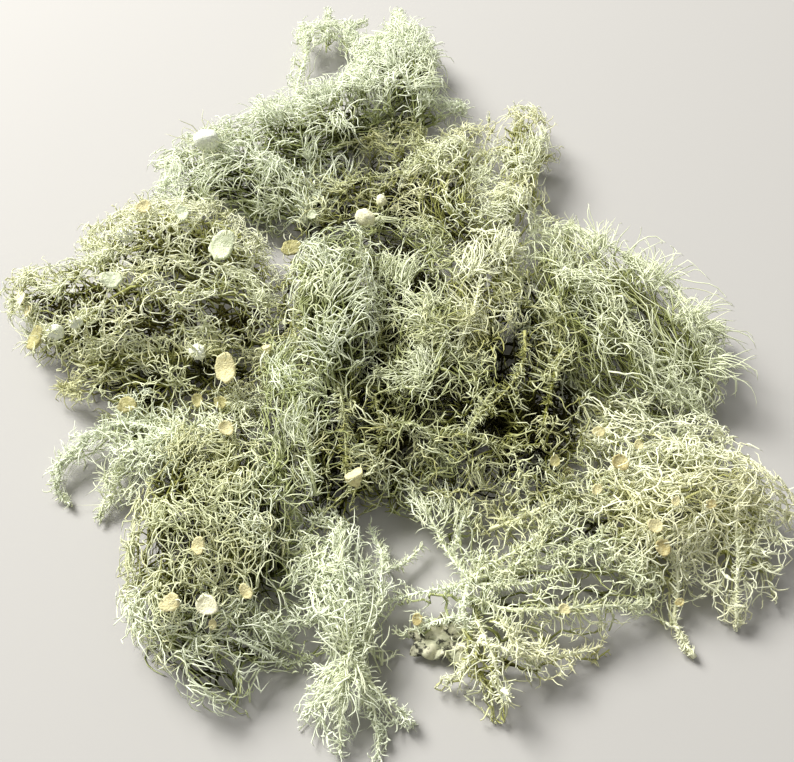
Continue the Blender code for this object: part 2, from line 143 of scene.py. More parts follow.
mintMaterial = lichenMaterial("mint_strands", (0.88, 0.93, 0.73), (0.43, 0.48, 0.19), (0.035, 0.038, 0.008),
                              (0.84, 0.85, 0.54))
yellowMaterial = lichenMaterial("yellow_green_strands", (0.88, 0.91, 0.67), (0.44, 0.46, 0.145),
                                (0.040, 0.036, 0.006), (0.80, 0.75, 0.38))
oliveMaterial = lichenMaterial("olive_strands", (0.78, 0.81, 0.54), (0.28, 0.29, 0.07), (0.020, 0.019, 0.004),
                               (0.62, 0.58, 0.27))
sageMaterial = lichenMaterial("sage_strands", (0.83, 0.87, 0.63), (0.34, 0.37, 0.13), (0.025, 0.024, 0.006),
                              (0.72, 0.68, 0.34))
creamMaterial = lichenMaterial("cream_strands", (0.92, 0.94, 0.70), (0.50, 0.51, 0.165), (0.040, 0.038, 0.008),
                               (0.87, 0.83, 0.47))
print("materials made")


def unit(vectors):
    return vectors / np.maximum(np.linalg.norm(vectors, axis=-1, keepdims=True), 1e-9)


# a smooth course through a frond's own points, one ring about every two millimetres
def courseOf(frond, step=2.0):
    knots = np.array(frond, float)
    knots[:, :3] -= middle
    knots[:, 2] -= sink
    ends = np.vstack([knots[0] * 2 - knots[1], knots, knots[-1] * 2 - knots[-2]])
    rings = []
    for a, b, c, d in zip(ends, ends[1:], ends[2:], ends[3:]):
        count = max(2, round(np.linalg.norm((c - b)[:3]) / step))
        t = (np.arange(count) / count)[:, None]
        bend = a * 2 - b * 5 + c * 4 - d
        swing = b * 3 - a - c * 3 + d
        rings.append((b * 2 + (c - a) * t + bend * t ** 2 + swing * t ** 3) / 2)
    rings.append(knots[-1:])
    return np.vstack(rings)


# height of the upper side of a form at a place on the map
def topAt(rings, x, y):
    apart = (rings[:, 0] - x) ** 2 + (rings[:, 1] - y) ** 2
    inside = rings[apart < rings[:, 3] ** 2]
    if not len(inside):
        return rings[apart.argmin(), 2]
    apart = (inside[:, 0] - x) ** 2 + (inside[:, 1] - y) ** 2
    return (inside[:, 2] + np.sqrt(inside[:, 3] ** 2 - apart)).max()


# how far points stand outside the form (negative inside), and the nearest ring
def outside(points, rings):
    flat = points.reshape(-1, 3)
    gap = np.empty(len(flat))
    near = np.empty(len(flat), int)
    for start in range(0, len(flat), 4000):
        part = slice(start, start + 4000)
        apart = np.linalg.norm(flat[part, None, :] - rings[None, :, :3], axis=2) - rings[None, :, 3]
        near[part] = apart.argmin(1)
        gap[part] = apart.min(1)
    return gap.reshape(points.shape[:-1]), near.reshape(points.shape[:-1])


# points that stand out by more than their slack are drawn in, but towards a neighbouring fork
# they may stray further, which tangles the two; nothing goes under the surface
def drawnIn(paths, rings, slack, others, stray):
    gap, near = outside(paths, rings)
    beside, _ = outside(paths, others)
    room = slack[:, None] + np.clip(stray - beside, 0.0, stray)
    inward = unit(rings[near][..., :3] - paths)
    paths = paths + inward * np.maximum(gap - room, 0.0)[..., None]
    paths[..., 2] = np.maximum(paths[..., 2], floorGap)
    return paths


# long stems run along a course, spread over its whole width
def stemPaths(course, count, spread, twist, wander, dice, points=14):
    if course[0, 3] < course[-1, 3]:
        course = course[::-1]
    first, last = unit((course[0] - course[2])[:3]), unit((course[-1] - course[-3])[:3])
    course = np.vstack([[*(course[0, :3] + first * course[0, 3] * 0.8), course[0, 3] * 0.7], course,
                        [*(course[-1, :3] + last * course[-1, 3] * 0.6), course[-1, 3] * 0.7]])
    along = np.linspace(0.0, 1.0, len(course))
    start = dice.uniform(0.0, 0.15, count)
    end = dice.uniform(0.85, 1.0, count)
    start[0], end[0] = 0.0, 1.0
    t = start[:, None] + (end - start)[:, None] * np.linspace(0.0, 1.0, points)
    at = np.stack([np.interp(t, along, course[:, k]) for k in range(4)], axis=-1)
    heading = unit(np.gradient(at[..., :3], axis=1))
    aside = unit(np.cross([0.0, 0.0, 1.0], heading))
    over = np.cross(heading, aside)
    wide = np.sqrt((np.arange(count) + 0.5) / count) * 0.88
    out = wide[:, None] * (0.85 * (1 - t) + 1.05 * t)
    out[0] = 0.0
    turn = (np.arange(count) * 0.618 + dice.uniform(0.0, 0.2, count)) % 1.0
    angle = (turn * (math.pi + 1.2) - 0.6)[:, None] + twist * (t - 0.5)
    reach = at[..., 3:] * spread
    paths = at[..., :3] + reach * out[..., None] * (np.cos(angle)[..., None] * aside
                                                     + np.sin(angle)[..., None] * over)
    for size, waves in ((1.0, 2.2), (0.6, 4.5)):
        phase = dice.uniform(0.0, 2 * math.pi, (count, 1, 3))
        rate = waves * dice.uniform(0.7, 1.3, (count, 1, 3)) * 2 * math.pi
        paths = paths + wander * size * np.sin(phase + rate * t[..., None])
    return paths


# places on host strands, with the heading there, more often where the weight is high
def placesOn(hosts, weights, count, dice):
    chance = weights / weights.sum()
    picked = dice.choice(chance.size, count, p=chance.ravel())
    host, ring = np.unravel_index(picked, chance.shape)
    share = dice.uniform(0.0, 1.0, count)[:, None]
    here = hosts[host, ring] * (1 - share) + hosts[host, ring + 1] * share
    heading = unit(hosts[host, ring + 1] - hosts[host, ring])
    return here, heading


# how crowded the hosts are where each of their parts lies, seen from above
def crowding(points, cell=3.5):
    cells = np.floor(points[..., :2] / cell).astype(int)
    cells = cells - cells.reshape(-1, 2).min(0) + 1
    crowd = np.zeros(cells.reshape(-1, 2).max(0) + 2)
    np.add.at(crowd, (cells[..., 0], cells[..., 1]), 1.0)
    for axis in (0, 1):
        crowd = (np.roll(crowd, 1, axis) + 2 * crowd + np.roll(crowd, -1, axis)) / 4
    return crowd[cells[..., 0], cells[..., 1]]


# strands that leave their host at an angle, bend steadily, wave a little and hook at the tip
def sprouts(here, heading, outward, length, lean, turn, wave, dice, points, comb=0.0):
    count = len(here)
    loose = unit(dice.normal(size=(count, 3)) * 0.75 + outward)
    across = unit(loose - (loose * heading).sum(1, keepdims=True) * heading)
    first = heading * np.cos(lean)[:, None] + across * np.sin(lean)[:, None]
    goal = dice.normal(size=(count, 3)) * 0.7 + comb
    side = unit(goal - (goal * first).sum(1, keepdims=True) * first)
    third = np.cross(first, side)
    s = (np.arange(points - 1) + 0.5) / (points - 1)
    angle = turn[:, None] * s ** 1.4
    phase = dice.uniform(0.0, 2 * math.pi, (count, 1))
    rate = dice.uniform(0.8, 1.6, (count, 1)) * 2 * math.pi
    steps = (first[:, None, :] * np.cos(angle)[..., None] + side[:, None, :] * np.sin(angle)[..., None]
             + third[:, None, :] * (wave * np.sin(phase + rate * s))[..., None])
    steps = unit(steps) * (length / (points - 1))[:, None, None]
    paths = np.concatenate([here[:, None, :], here[:, None, :] + np.cumsum(steps, axis=1)], axis=1)
    return paths, third


# closed three-sided strands that taper to a point, as arrays for one joined mesh
def tubeArrays(paths, thickness, facing, shade, hue, taper):
    count, points, _ = paths.shape
    heading = unit(np.gradient(paths, axis=1))
    a = facing[:, None, :] - (facing[:, None, :] * heading).sum(-1, keepdims=True) * heading
    a = unit(a)
    b = np.cross(heading, a)
    along = np.linspace(0.0, 1.0, points)
    radius = thickness[:, None] / 2 * (1 - taper * along ** 1.5)
    turns = np.arange(3) * 2 * math.pi / 3
    spin = (np.cos(turns)[:, None] * a[:, :-1, None, :] + np.sin(turns)[:, None] * b[:, :-1, None, :])
    rings = paths[:, :-1, None, :] + radius[:, :-1, None, None] * spin
    corners = np.concatenate([rings.reshape(count, -1, 3), paths[:, -1:, :]], axis=1)
    corners[..., 2] = np.maximum(corners[..., 2], 0.02)
    each = corners.shape[1]
    quads = [[3 * j + i, 3 * j + (i + 1) % 3, 3 * j + 3 + (i + 1) % 3, 3 * j + 3 + i]
             for j in range(points - 2) for i in range(3)]
    low = 3 * (points - 2)
    tris = [[low + i, low + (i + 1) % 3, each - 1] for i in range(3)] + [[2, 1, 0]]
    offset = (np.arange(count) * each)[:, None, None]
    ringShade = np.concatenate([np.repeat(shade[:, :-1], 3, axis=1), shade[:, -1:]], axis=1)
    ringHue = np.repeat(hue[:, None], each, axis=1)
    jitterU = np.concatenate([np.repeat(np.arange(points - 1) % 2, 3), [1]]) * 0.01
    jitterV = np.concatenate([np.tile([0.0, 0.005, 0.01], points - 1), [0.005]])
    mapped = np.stack([0.02 + 0.94 * ringShade + jitterU, 0.02 + 0.94 * ringHue + jitterV], axis=-1)
    return {"corners": corners.reshape(-1, 3), "quads": (np.array(quads)[None] + offset).reshape(-1, 4),
            "tris": (np.array(tris)[None] + offset).reshape(-1, 3), "shade": ringShade.ravel(),
            "hue": ringHue.ravel(), "map": mapped.reshape(-1, 2)}


def strandMesh(name, groups):
    corners = np.concatenate([g["corners"] for g in groups]) * mm
    starts = np.cumsum([0] + [len(g["corners"]) for g in groups])[:-1]
    quads = np.concatenate([g["quads"] + start for g, start in zip(groups, starts)])
    tris = np.concatenate([g["tris"] + start for g, start in zip(groups, starts)])
    loops = np.concatenate([quads.ravel(), tris.ravel()]).astype(np.int32)
    sizes = np.concatenate([np.full(len(quads), 4), np.full(len(tris), 3)]).astype(np.int32)
    mesh = bpy.data.meshes.new(name)
    mesh.vertices.add(len(corners))
    mesh.vertices.foreach_set("co", corners.astype(np.float32).ravel())
    mesh.loops.add(len(loops))
    mesh.loops.foreach_set("vertex_index", loops)
    mesh.polygons.add(len(sizes))
    mesh.polygons.foreach_set("loop_start", (np.cumsum(sizes) - sizes).astype(np.int32))
    mesh.polygons.foreach_set("use_smooth", np.ones(len(sizes), bool))
    mesh.update(calc_edges=True)
    for key in ("shade", "hue"):
        values = np.concatenate([g[key] for g in groups]).astype(np.float32)
        mesh.attributes.new(key, "FLOAT", "POINT").data.foreach_set("value", values)
    mapped = np.concatenate([g["map"] for g in groups]).astype(np.float32)
    mesh.uv_layers.new(name="OFBake").data.foreach_set("uv", mapped[loops].ravel())
    triangles = 2 * len(quads) + len(tris)
    strandTotal["triangles"] += triangles
    print(name, triangles)
    return mesh


# a smooth field over space, from about -1 to 1, the same for every fork
def field(points, seed, size):
    dice = np.random.default_rng(seed)
    rates = unit(dice.normal(size=(5, 3))) * dice.uniform(0.7, 1.5, (5, 1)) * math.pi / size
    phases = dice.uniform(0.0, 2 * math.pi, 5)
    return np.sin(points @ rates.T + phases).sum(-1) / 2.4


# strands of one lock lean the same way
def flow(points, size=14.0):
    return np.stack([field(points, seed, size) for seed in (21, 22, 23)], axis=-1) * [1.0, 1.0, 0.5]


def curlWay(points, size=11.0):
    return np.stack([field(points, seed, size) for seed in (31, 32, 33)], axis=-1)


def clumps(points):
    return np.clip(field(points, 5, 7.0), -1.0, 1.0)


# painted shade: a strand is darker the deeper it lies inside its form and the nearer it runs to the floor, partly also
# the darker olive of older inner stems; lighter towards its tip
def shadeOf(paths, rings, floorShadeHeight, tipLight):
    gap, near = outside(paths, rings)
    gap = gap / np.clip(rings[near][..., 3] / 9.0, 0.35, 1.0) * 0.35 + gap * 0.65
    gap = np.where(rings[near][..., 3] < 6.0, gap * 0.5, gap)
    along = np.linspace(0.0, 1.0, paths.shape[1])
    low = np.clip(paths[..., 2] / floorShadeHeight, 0.0, 1.0)
    return np.clip(np.exp(np.minimum(gap, 0.0) / 4.0) * (0.58 + 0.42 * low) - 0.15 + tipLight * along, 0.0, 1.0)


# what most forks share; a fork's own dictionary changes what is its own
usual = {"stems": 0.050, "stemWidth": 0.8, "spread": 1.0, "twist": 0.8, "wander": 1.2, "branches": 0.050,
         "branchLength": (8, 18), "branchWidth": 0.55, "twigs": 1.0, "twigLength": (8, 16), "twigTurn": 2.0,
         "fibrils": 1.0, "fibrilLength": (5, 12), "fibrilWidth": 0.38, "lean": (30, 85), "turn": 2.2,
         "wave": 0.35, "hairs": 0.02, "hairWidth": 0.36, "spineWidth": 1.2, "loose": 1.5,
         "mat": 0.12, "matWidth": 0.8, "order": 0.9, "bristles": 0.1, "stray": 4.5, "spines": (), "spineLight": 0.3, "sprays": (),
         "sprayLight": 0.35, "sprayLoose": 3.0, "whorls": 0.0, "pull": (0.0, 0.0, 0.0), "fanFrom": (0.0, 0.0, 0.0), "fanOut": 0.0,
         # light: added to the shade of all a fork's strands; partly painted light and painted shade that make forks of
         # one material lighter or darker, partly their own tone
         "warm": 0.0, "light": 0.0}
twigDensity = 0.135  # curling twigs for each square millimetre of a fork seen from above
fibrilDensity = 0.325  # fine branchlets for each square millimetre


def growFork(fork, others):
    style = {**usual, **fork}
    dice = np.random.default_rng(sum(ord(letter) * (k + 1) for k, letter in enumerate(fork["node"])))
    courses = fork["courses"]
    rings = np.vstack(courses)
    low, high = rings[:, :3].min(0) - 35.0, rings[:, :3].max(0) + 35.0
    others = others[((others[:, :3] > low) & (others[:, :3] < high)).all(1)]
    area = sum((np.linalg.norm(np.diff(c[:, :3], axis=0), axis=1) * (c[1:, 3] + c[:-1, 3])).sum() for c in courses)
    groups = []

    def add(paths, width, facing, slack, taper=0.75, tip=0.12, dim=0.0):
        paths = drawnIn(paths, rings, slack, others, style["stray"])
        hue = np.clip(0.5 + 0.35 * field(paths[:, 0], 7, 22.0) + dice.normal(0.0, 0.22, len(paths))
                      + style["warm"], 0.0, 1.0)
        # painted shade: darker inside the form, near the floor and in the hollows between clumps, with the fork's light
        # added
        shade = np.clip(shadeOf(paths, rings, 8.0, tip) + dice.normal(0.0, 0.09, len(paths))[:, None]
                        + 0.14 * clumps(paths) + style["light"] - dim, 0.0, 1.0)
        thickness = width * dice.uniform(0.75, 1.25, len(paths))
        groups.append(tubeArrays(paths, thickness, facing, shade, hue, taper))
        strandTotal["strands"] += len(paths)
        return paths

    # stems
    stems = []
    for course in courses:
        widest = course[:, 3].max()
        count = max(1, round(style["stems"] * widest ** 2 * 0.8))
        wander = min(style["wander"], 0.25 * widest)
        stems.append(stemPaths(course, count, style["spread"], style["twist"], wander, dice))
    stems = np.concatenate(stems)
    facing = unit(np.cross(stems[:, -1] - stems[:, 0], dice.normal(size=(len(stems), 3))))
    _, near = outside(stems, rings)
    stems = add(stems, style["stemWidth"], facing, np.full(len(stems), 0.0), taper=0.7, dim=0.05)

    def choose(hosts, count, up=0.4):
        gap, near = outside(hosts[:, :-1], rings)
        lift = (hosts[:, :-1, 2] - rings[near][..., 2]) / rings[near][..., 3]
        weights = np.exp(np.minimum(gap, 0.0) / 5.0) * np.clip(0.4 + up * lift, 0.10, 1.2)
        weights *= np.linalg.norm(np.diff(hosts, axis=1), axis=2) * np.exp(0.6 * clumps(hosts[:, :-1]))
        weights /= crowding(hosts[:, :-1]) ** 0.85
        return placesOn(hosts, weights, count, dice)

    def sprout(hosts, count, lengths, width, lean, turn, points, slack, tip, dim, taper=0.7, up=0.4):
        here, heading = choose(hosts, count, up)
        away = unit(here - (np.array(style["fanFrom"]) - middle))
        heading = unit(heading + style["pull"] + away * style["fanOut"])
        _, near = outside(here, rings)
        outward = unit(here - rings[near][:, :3] + [0.0, 0.0, 1.0]) + flow(here) * style["order"]
        reach = rings[near][:, 3]
        length = dice.uniform(*lengths, count) * np.clip(reach / 7.0, 0.3, 1.0)
        leans = np.radians(dice.uniform(*lean, count))
        turns = turn * dice.uniform(0.25, 1.3, count) * dice.choice([-1.0, 1.0], count, p=[0.15, 0.85])
        comb = curlWay(here) * style["order"] * 1.5
        paths, facing = sprouts(here, heading, outward, length, leans, turns, style["wave"], dice, points, comb)
        return add(paths, width, facing, slack(count), taper=taper, tip=tip, dim=dim)

    # side branches, then the fine branchlets on both
    branches = sprout(stems, max(3, round(area * style["branches"])), style["branchLength"],
                      style["branchWidth"], (25, 80), 0.9, 6, lambda n: dice.uniform(-0.8, 1.0, n), 0.1, 0.02)
    hosts = np.concatenate([resampled(stems, 10), resampled(branches, 10)])
    twigs = sprout(hosts, round(area * twigDensity * style["twigs"]), style["twigLength"],
                   style["fibrilWidth"] * 1.1, style["lean"], style["twigTurn"], 6,
                   lambda n: np.minimum(dice.exponential(1.0, n), 3.0), 0.18, 0.0, 0.5)
    hosts = np.concatenate([hosts, resampled(twigs, 10)])
    count = round(area * fibrilDensity * style["fibrils"])
    shortest, longest = style["fibrilLength"]
    between = (shortest + longest) / 2
    spines = np.concatenate([resampled(stems, 20), resampled(branches, 20)])
    onSpines = style["bristles"]
    for lengths, share, points in (((between, longest), 0.5, 6), ((shortest, between), 0.5, 5)):
        for bearing, part in ((hosts, 1.0 - onSpines), (spines, onSpines)):
            if part > 0:
                sprout(bearing, round(count * share * part), lengths, style["fibrilWidth"], style["lean"],
                       style["turn"], points, lambda n: np.minimum(dice.exponential(1.4, n), 4.0), 0.22, 0.0, 0.45, 0.55)

    # bottle-brush stems that show on top: the places they pass and how long their bristles are
    for places, bristle in style["spines"]:
        line = np.array([(x - middle[0], y - middle[1]) for x, y in places])
        course = courseOf([(x, y, 0.0, 0.0) for x, y in places])[:, :2]
        path = np.array([(x, y, max(topAt(rings, x, y) - 0.6, 1.2)) for x, y in course])[None]
        path = resampled(path, max(6, round(2.5 * len(line) + 4)))
        path[:, 1:-1, 2] = (path[:, :-2, 2] + path[:, 1:-1, 2] + path[:, 2:, 2]) / 3
        path = add(path, style["spineWidth"], unit(dice.normal(size=(1, 3))), np.full(1, style["loose"] - 1.0), 0.5, 0.0,
                   -style["spineLight"])
        run = np.linalg.norm(np.diff(path[0], axis=0), axis=1).sum()
        count = round(run * 5.5)
        here, heading = placesOn(path, np.linalg.norm(np.diff(path, axis=1), axis=2), count, dice)
        paths, facing = sprouts(here, heading, dice.normal(size=(count, 3)) + [0.0, 0.0, 0.3],
                                bristle * dice.uniform(0.4, 1.0, count), np.radians(dice.uniform(50, 95, count)),
                                dice.normal(0.0, 0.9, count), 0.3, dice, 4)
        add(paths, 0.34, facing, np.full(count, style["loose"]), taper=0.6, tip=0.2,
            dim=0.1 - style["spineLight"])

    # sprays of long pale strands: where they start, which way they go, their length and number
    for (x, y), (goX, goY), length, count in style["sprays"]:
        x, y = x - middle[0], y - middle[1]
        here = np.array([x, y, topAt(rings, x, y) - 1.5]) + dice.normal(size=(count, 3)) * [2.0, 2.0, 0.7]
        heading = np.tile(unit(np.array([goX, goY, 0.35 * math.hypot(goX, goY)])), (count, 1))
        paths, facing = sprouts(here, heading, dice.normal(size=(count, 3)) * [1.0, 1.0, 0.4],
                                length * dice.uniform(0.5, 1.15, count), np.radians(dice.normal(0.0, 28.0, count)),
                                dice.uniform(0.3, 1.5, count), 0.35, dice, 8, curlWay(here) + [0.0, 0.0, -0.8])
        add(paths, 0.42, facing, np.full(count, style["sprayLoose"]), taper=0.6, tip=0.15, dim=-style["sprayLight"])

    # whorls: short strands that stand out all round one point near the outside
    whorls = round(area * style["whorls"])
    if whorls:
        here, _ = choose(np.concatenate([resampled(stems, 10), resampled(branches, 10)]), whorls)
        gap, near = outside(here, rings)
        out = unit(here - rings[near][:, :3] + [0.0, 0.0, 2.0])
        here = here + out * np.maximum(-gap - 1.5, 0.0)[:, None]
        here, out = np.repeat(here, 12, axis=0), np.repeat(out, 12, axis=0)
        count = len(here)
        paths, facing = sprouts(here + dice.normal(0.0, 0.3, (count, 3)), out, dice.normal(size=(count, 3)),
                                dice.uniform(3.0, 8.0, count), np.radians(dice.uniform(25, 95, count)),
                                dice.normal(0.0, 0.8, count), 0.35, dice, 5)
        add(paths, style["fibrilWidth"], facing, np.full(count, 3.0), taper=0.6, tip=0.3, dim=-0.22)

    # long fine hairs that lie along the outside
    hairs = round(area * style["hairs"])
    if hairs:
        share = np.array([c[:, 3].sum() for c in courses])
        for course, n in zip(courses, dice.multinomial(hairs, share / share.sum())):
            if n:
                paths = stemPaths(course, n, 1.0, style["twist"] * 2, style["wander"], dice, 10)
                facing = unit(np.cross(paths[:, -1] - paths[:, 0], dice.normal(size=(n, 3))))
                add(paths, style["hairWidth"], facing, np.zeros(n), taper=0.8, tip=0.1)

    # broad dull strands low inside, inner stems kept dark as painted shade, which the surface is not seen through
    deep = sum((np.linalg.norm(np.diff(c[:, :3], axis=0), axis=1) * 2 * np.maximum(c[1:, 3] - 5.0, 0.0)).sum()
               for c in courses)
    mats = max(2, round(deep * style["mat"] * 1.5))
    hosts = resampled(stems, 10)[:, :-1]
    _, near = outside(hosts, rings)
    room = rings[near][..., 3]
    here, _ = placesOn(resampled(stems, 10), np.maximum(room - 6.0, 0.001), mats, dice)
    here[:, 2] *= 0.5
    flatly = unit(dice.normal(size=(mats, 3)) * [1.0, 1.0, 0.15])
    _, near = outside(here, rings)
    length = dice.uniform(0.8, 1.5, mats) * np.minimum(rings[near][:, 3], 10.0)
    paths, facing = sprouts(here, flatly, flatly, length, np.zeros(mats), dice.normal(0.0, 1.3, mats), 0.3, dice, 4)
    add(paths, style["matWidth"], facing, np.full(mats, -3.5), taper=0.5, tip=0.0, dim=0.06)

    piece = bpy.data.objects.new(fork["node"] + "_strands", strandMesh(fork["node"] + "_strands", groups))
    bpy.context.scene.collection.objects.link(piece)
    piece.data.materials.append(fork["finish"])
    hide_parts(fork["node"])
    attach(piece, root)
    return piece


def resampled(paths, points):
    old = np.linspace(0.0, 1.0, paths.shape[1])
    new = np.linspace(0.0, 1.0, points)
    low = np.minimum((new * (len(old) - 1)).astype(int), len(old) - 2)
    share = (new * (len(old) - 1) - low)[None, :, None]
    return paths[:, low] * (1 - share) + paths[:, low + 1] * share


mint = {"slot": "mint_white_lichen", "finish": mintMaterial}
yellow = {"slot": "yellow_green_lichen", "finish": yellowMaterial}
olive = {"slot": "olive_lichen", "finish": oliveMaterial}
sage = {"slot": "sage_lichen", "finish": sageMaterial}
cream = {"slot": "cream_lichen", "finish": creamMaterial}

forks = []

# curly bundle: long pale strands curled over one another, on top of the rest
forks.append({**mint, "node": "curly_bundle", "fibrils": 0.55, "hairs": 0.09, "hairWidth": 0.42, "order": 0.5,
              "twist": 2.2, "wander": 2.3, "fibrilLength": (7, 14), "fibrilWidth": 0.42, "twigTurn": 4.5,
              "twigLength": (10, 20), "lean": (15, 90), "turn": 3.8, "wave": 0.5, "light": -0.10,
              "sprayLight": 0.25, "sprays": [
                  ((-16, -8), (0.2, 1), 13, 24), ((-18, 4), (0.4, 1), 14, 24), ((-20, 14), (-0.6, 1), 13, 24),
                  ((-13, 2), (1, 0.6), 12, 24), ((-16, -12), (-0.8, 0.8), 12, 24)],
              "fronds": [
                  [(-13, 36, 22, 5), (-18, 27, 25, 9), (-19, 13, 27, 11), (-17, -1, 26, 11), (-14, -13, 22, 6)]]})

# pale sprig: a spiky stem with long lashes to both sides
forks.append({**mint, "node": "pale_sprig", "fibrils": 0.9, "fibrilLength": (6, 12), "lean": (25, 60), "turn": 1.2,
              "light": -0.38, "bristles": 0.3, "order": 0.6, "sprayLight": 0.45,
              "spines": [([(-21, -46), (-24, -32), (-29, -18), (-34, -5)], 5.0)],
              "sprays": [
                  ((-22, -42), (-0.3, 1), 13, 24), ((-25, -32), (-0.4, 1), 14, 30), ((-29, -20), (-0.3, 1), 14, 30),
                  ((-33, -10), (-0.2, 1), 11, 24), ((-25, -30), (0.5, 1), 11, 20)],
              "fronds": [
                  [(-36, 3, 17, 1.5), (-33, -7, 18, 4.5), (-29, -19, 17, 8), (-25, -31, 14, 9),
                   (-22, -43, 10, 7), (-20, -49, 8, 3)]]})

# bottom tuft: a pale star of spiky stems with a splayed foot
spiky = {"order": 0.8, "lean": (25, 75), "turn": 1.8, "light": 0.48, "fibrilWidth": 0.44, "fanFrom": (-12, -85, 6), "fanOut": 0.8, "fibrilLength": (4, 9), "fibrils": 1.3,
         "bristles": 0.4}
forks.append({**mint, **spiky, "node": "bottom_tuft_stem", "fronds": [
    [(-15, -50, 6, 2), (-14, -58, 8, 5.5), (-13, -68, 9, 7), (-12, -78, 9, 7), (-11, -86, 8, 5), (-13, -94, 6, 5),
     (-14, -101, 4, 3), (-13, -108, 3, 1.2)],
    [(-13, -85, 6, 4), (-17, -93, 4.5, 4), (-22, -100, 2.8, 1.5)],
    [(-11, -85, 6, 4), (-5, -94, 4.5, 4), (4, -100, 2.8, 1.4)],
    [(-8, -92, 5, 3), (-4, -101, 3, 2), (-4, -107, 2.6, 1)]],
    "spines": [
        ([(-11, -86), (-13, -72), (-15, -52)], 5.0), ([(-11, -86), (-17, -92), (-22, -99)], 4.5),
        ([(-11, -86), (-13, -96), (-13, -107)], 4.5), ([(-11, -86), (-6, -95), (-4, -106)], 4.0),
        ([(-11, -86), (-5, -93), (3, -99)], 4.5), ([(-11, -86), (-9, -76), (-8, -62)], 4.5)],
    "sprays": [
        ((-12, -84), (-1, 1), 12, 20), ((-12, -84), (0.3, 1), 13, 20), ((-12, -90), (-0.8, -1), 11, 24),
        ((-11, -90), (0.9, -1), 12, 24), ((-12, -92), (0, -1), 11, 20), ((-13, -62), (0, 1), 12, 24)]})
forks.append({**mint, **spiky, "node": "bottom_tuft_left_fork", "fronds": [
    [(-26, -55, 6, 3), (-22, -64, 6, 5), (-18, -74, 6, 5), (-15, -82, 5, 4)]],
    "spines": [([(-12, -84), (-18, -72), (-22, -62), (-25, -56)], 4.5)]})
forks.append({**mint, **spiky, "node": "bottom_tuft_right_fork", "fibrils": 1.0, "loose": 7.0, "fronds": [
    [(-2, -57, 6, 2.5), (-5, -66, 7, 4.5), (-6, -76, 7, 5), (-5, -84, 5, 3.5)]],
    "spines": [([(-9, -84), (-5, -74), (-2, -68)], 4.0), ([(-4, -66), (-4, -58), (-8, -48)], 3.6),
               ([(-3, -64), (2, -60), (7, -55)], 3.2)]})

# bottom right tuft: bottle-brush stems that meet in the middle
brushy = {"order": 0.2, "mat": 0.01, "fibrilLength": (3.5, 7), "lean": (55, 90), "turn": 0.7, "stemWidth": 0.9, "hairs": 0.0,
          "fibrils": 1.35, "twigs": 0.6, "bristles": 0.6, "branchWidth": 0.65}
forks.append({**mint, **brushy, "node": "bottom_right_top_fork", "light": 0.12, "spines": [
    ([(18, -67), (13, -59), (8, -49), (5, -43)], 3.2), ([(18, -67), (16, -75), (18, -80)], 3.0),
    ([(14, -60), (17, -51), (20, -44)], 3.0)],
    "sprays": [((9, -50), (-0.5, 1), 9, 30), ((13, -50), (0.4, 1), 9, 30)], "fronds": [
    [(5, -40, 7, 3), (9, -46, 7, 5.5), (14, -50, 7, 6.5), (17, -58, 7, 5), (18, -66, 7, 4.5), (18, -75, 6, 4.5)],
    [(20, -43, 7, 3), (14, -53, 7, 5)]]})
forks.append({**mint, **brushy, "node": "bottom_right_left_forks", "light": 0.12, "spines": [
    ([(18, -67), (11, -69), (4, -70), (-4, -72)], 3.4), ([(16, -75), (11, -76), (7, -77), (3, -78)], 3.0)],
    "fronds": [
    [(13.5, -70, 7, 4), (8, -70, 7, 3.5), (-1, -72, 6, 3)],
    [(13, -68.5, 7, 3), (12, -74, 6, 3.2), (8, -77, 5, 2.6), (2, -79, 3.5, 1.5)]]})
forks.append({**sage, **brushy, "node": "bottom_right_far_fork", "light": 0.08, "spines": [
    ([(18, -67), (22, -64), (32, -59), (41, -52), (50, -48)], 3.6), ([(18, -67), (27, -65), (38, -62), (56, -54)], 3.4),
    ([(24, -53), (33, -51), (44, -46)], 3.6)], "fronds": [
    [(18, -67, 8, 4), (30, -60, 8, 5.5), (42, -56, 9, 7), (54, -52, 9, 7), (62, -47, 8, 4)],
    [(22, -52, 7, 3), (33, -49, 8, 7), (44, -47, 9, 8), (54, -50, 8, 5)],
    [(28, -50, 8, 5), (31, -60, 8, 5)], [(26, -63, 5, 5), (40, -63, 5, 5), (56, -60, 5, 5)]]})
forks.append({**sage, **brushy, "node": "bottom_right_middle_fork", "light": 0.12, "spines": [
    ([(17, -70), (25, -74), (31, -75), (39, -75), (54, -74), (65, -71)], 3.8), ([(20, -68), (30, -69), (42, -67)], 3.2)],
    "fronds": [
    [(22, -70, 7, 5), (34, -70, 7, 7.5), (48, -69, 7, 8.5), (58, -69, 6, 5.5), (66, -71, 3.5, 1.5)],
    [(25, -78, 5, 4), (38, -79, 5, 4.5), (50, -77, 4, 4)]]})
forks.append({**cream, **brushy, "node": "bottom_right_front_fork", "light": 0.14, "spines": [
    ([(19, -78), (22, -86), (24, -94)], 3.4), ([(20, -84), (29, -86), (40, -85), (50, -82)], 3.2),
    ([(20, -82), (16, -88), (11, -91)], 3.0)], "fronds": [
    [(20, -77, 7, 6), (23, -85, 7, 8), (24, -92, 5, 4.5), (24, -98, 3, 1.6)],
    [(20, -86, 6, 6), (34, -86, 5, 5), (46, -84, 4, 3.5), (51, -81, 3, 1.2)],
    [(10, -91, 3, 1.2), (16, -89, 4.5, 3.5), (26, -87, 5, 4)]]})

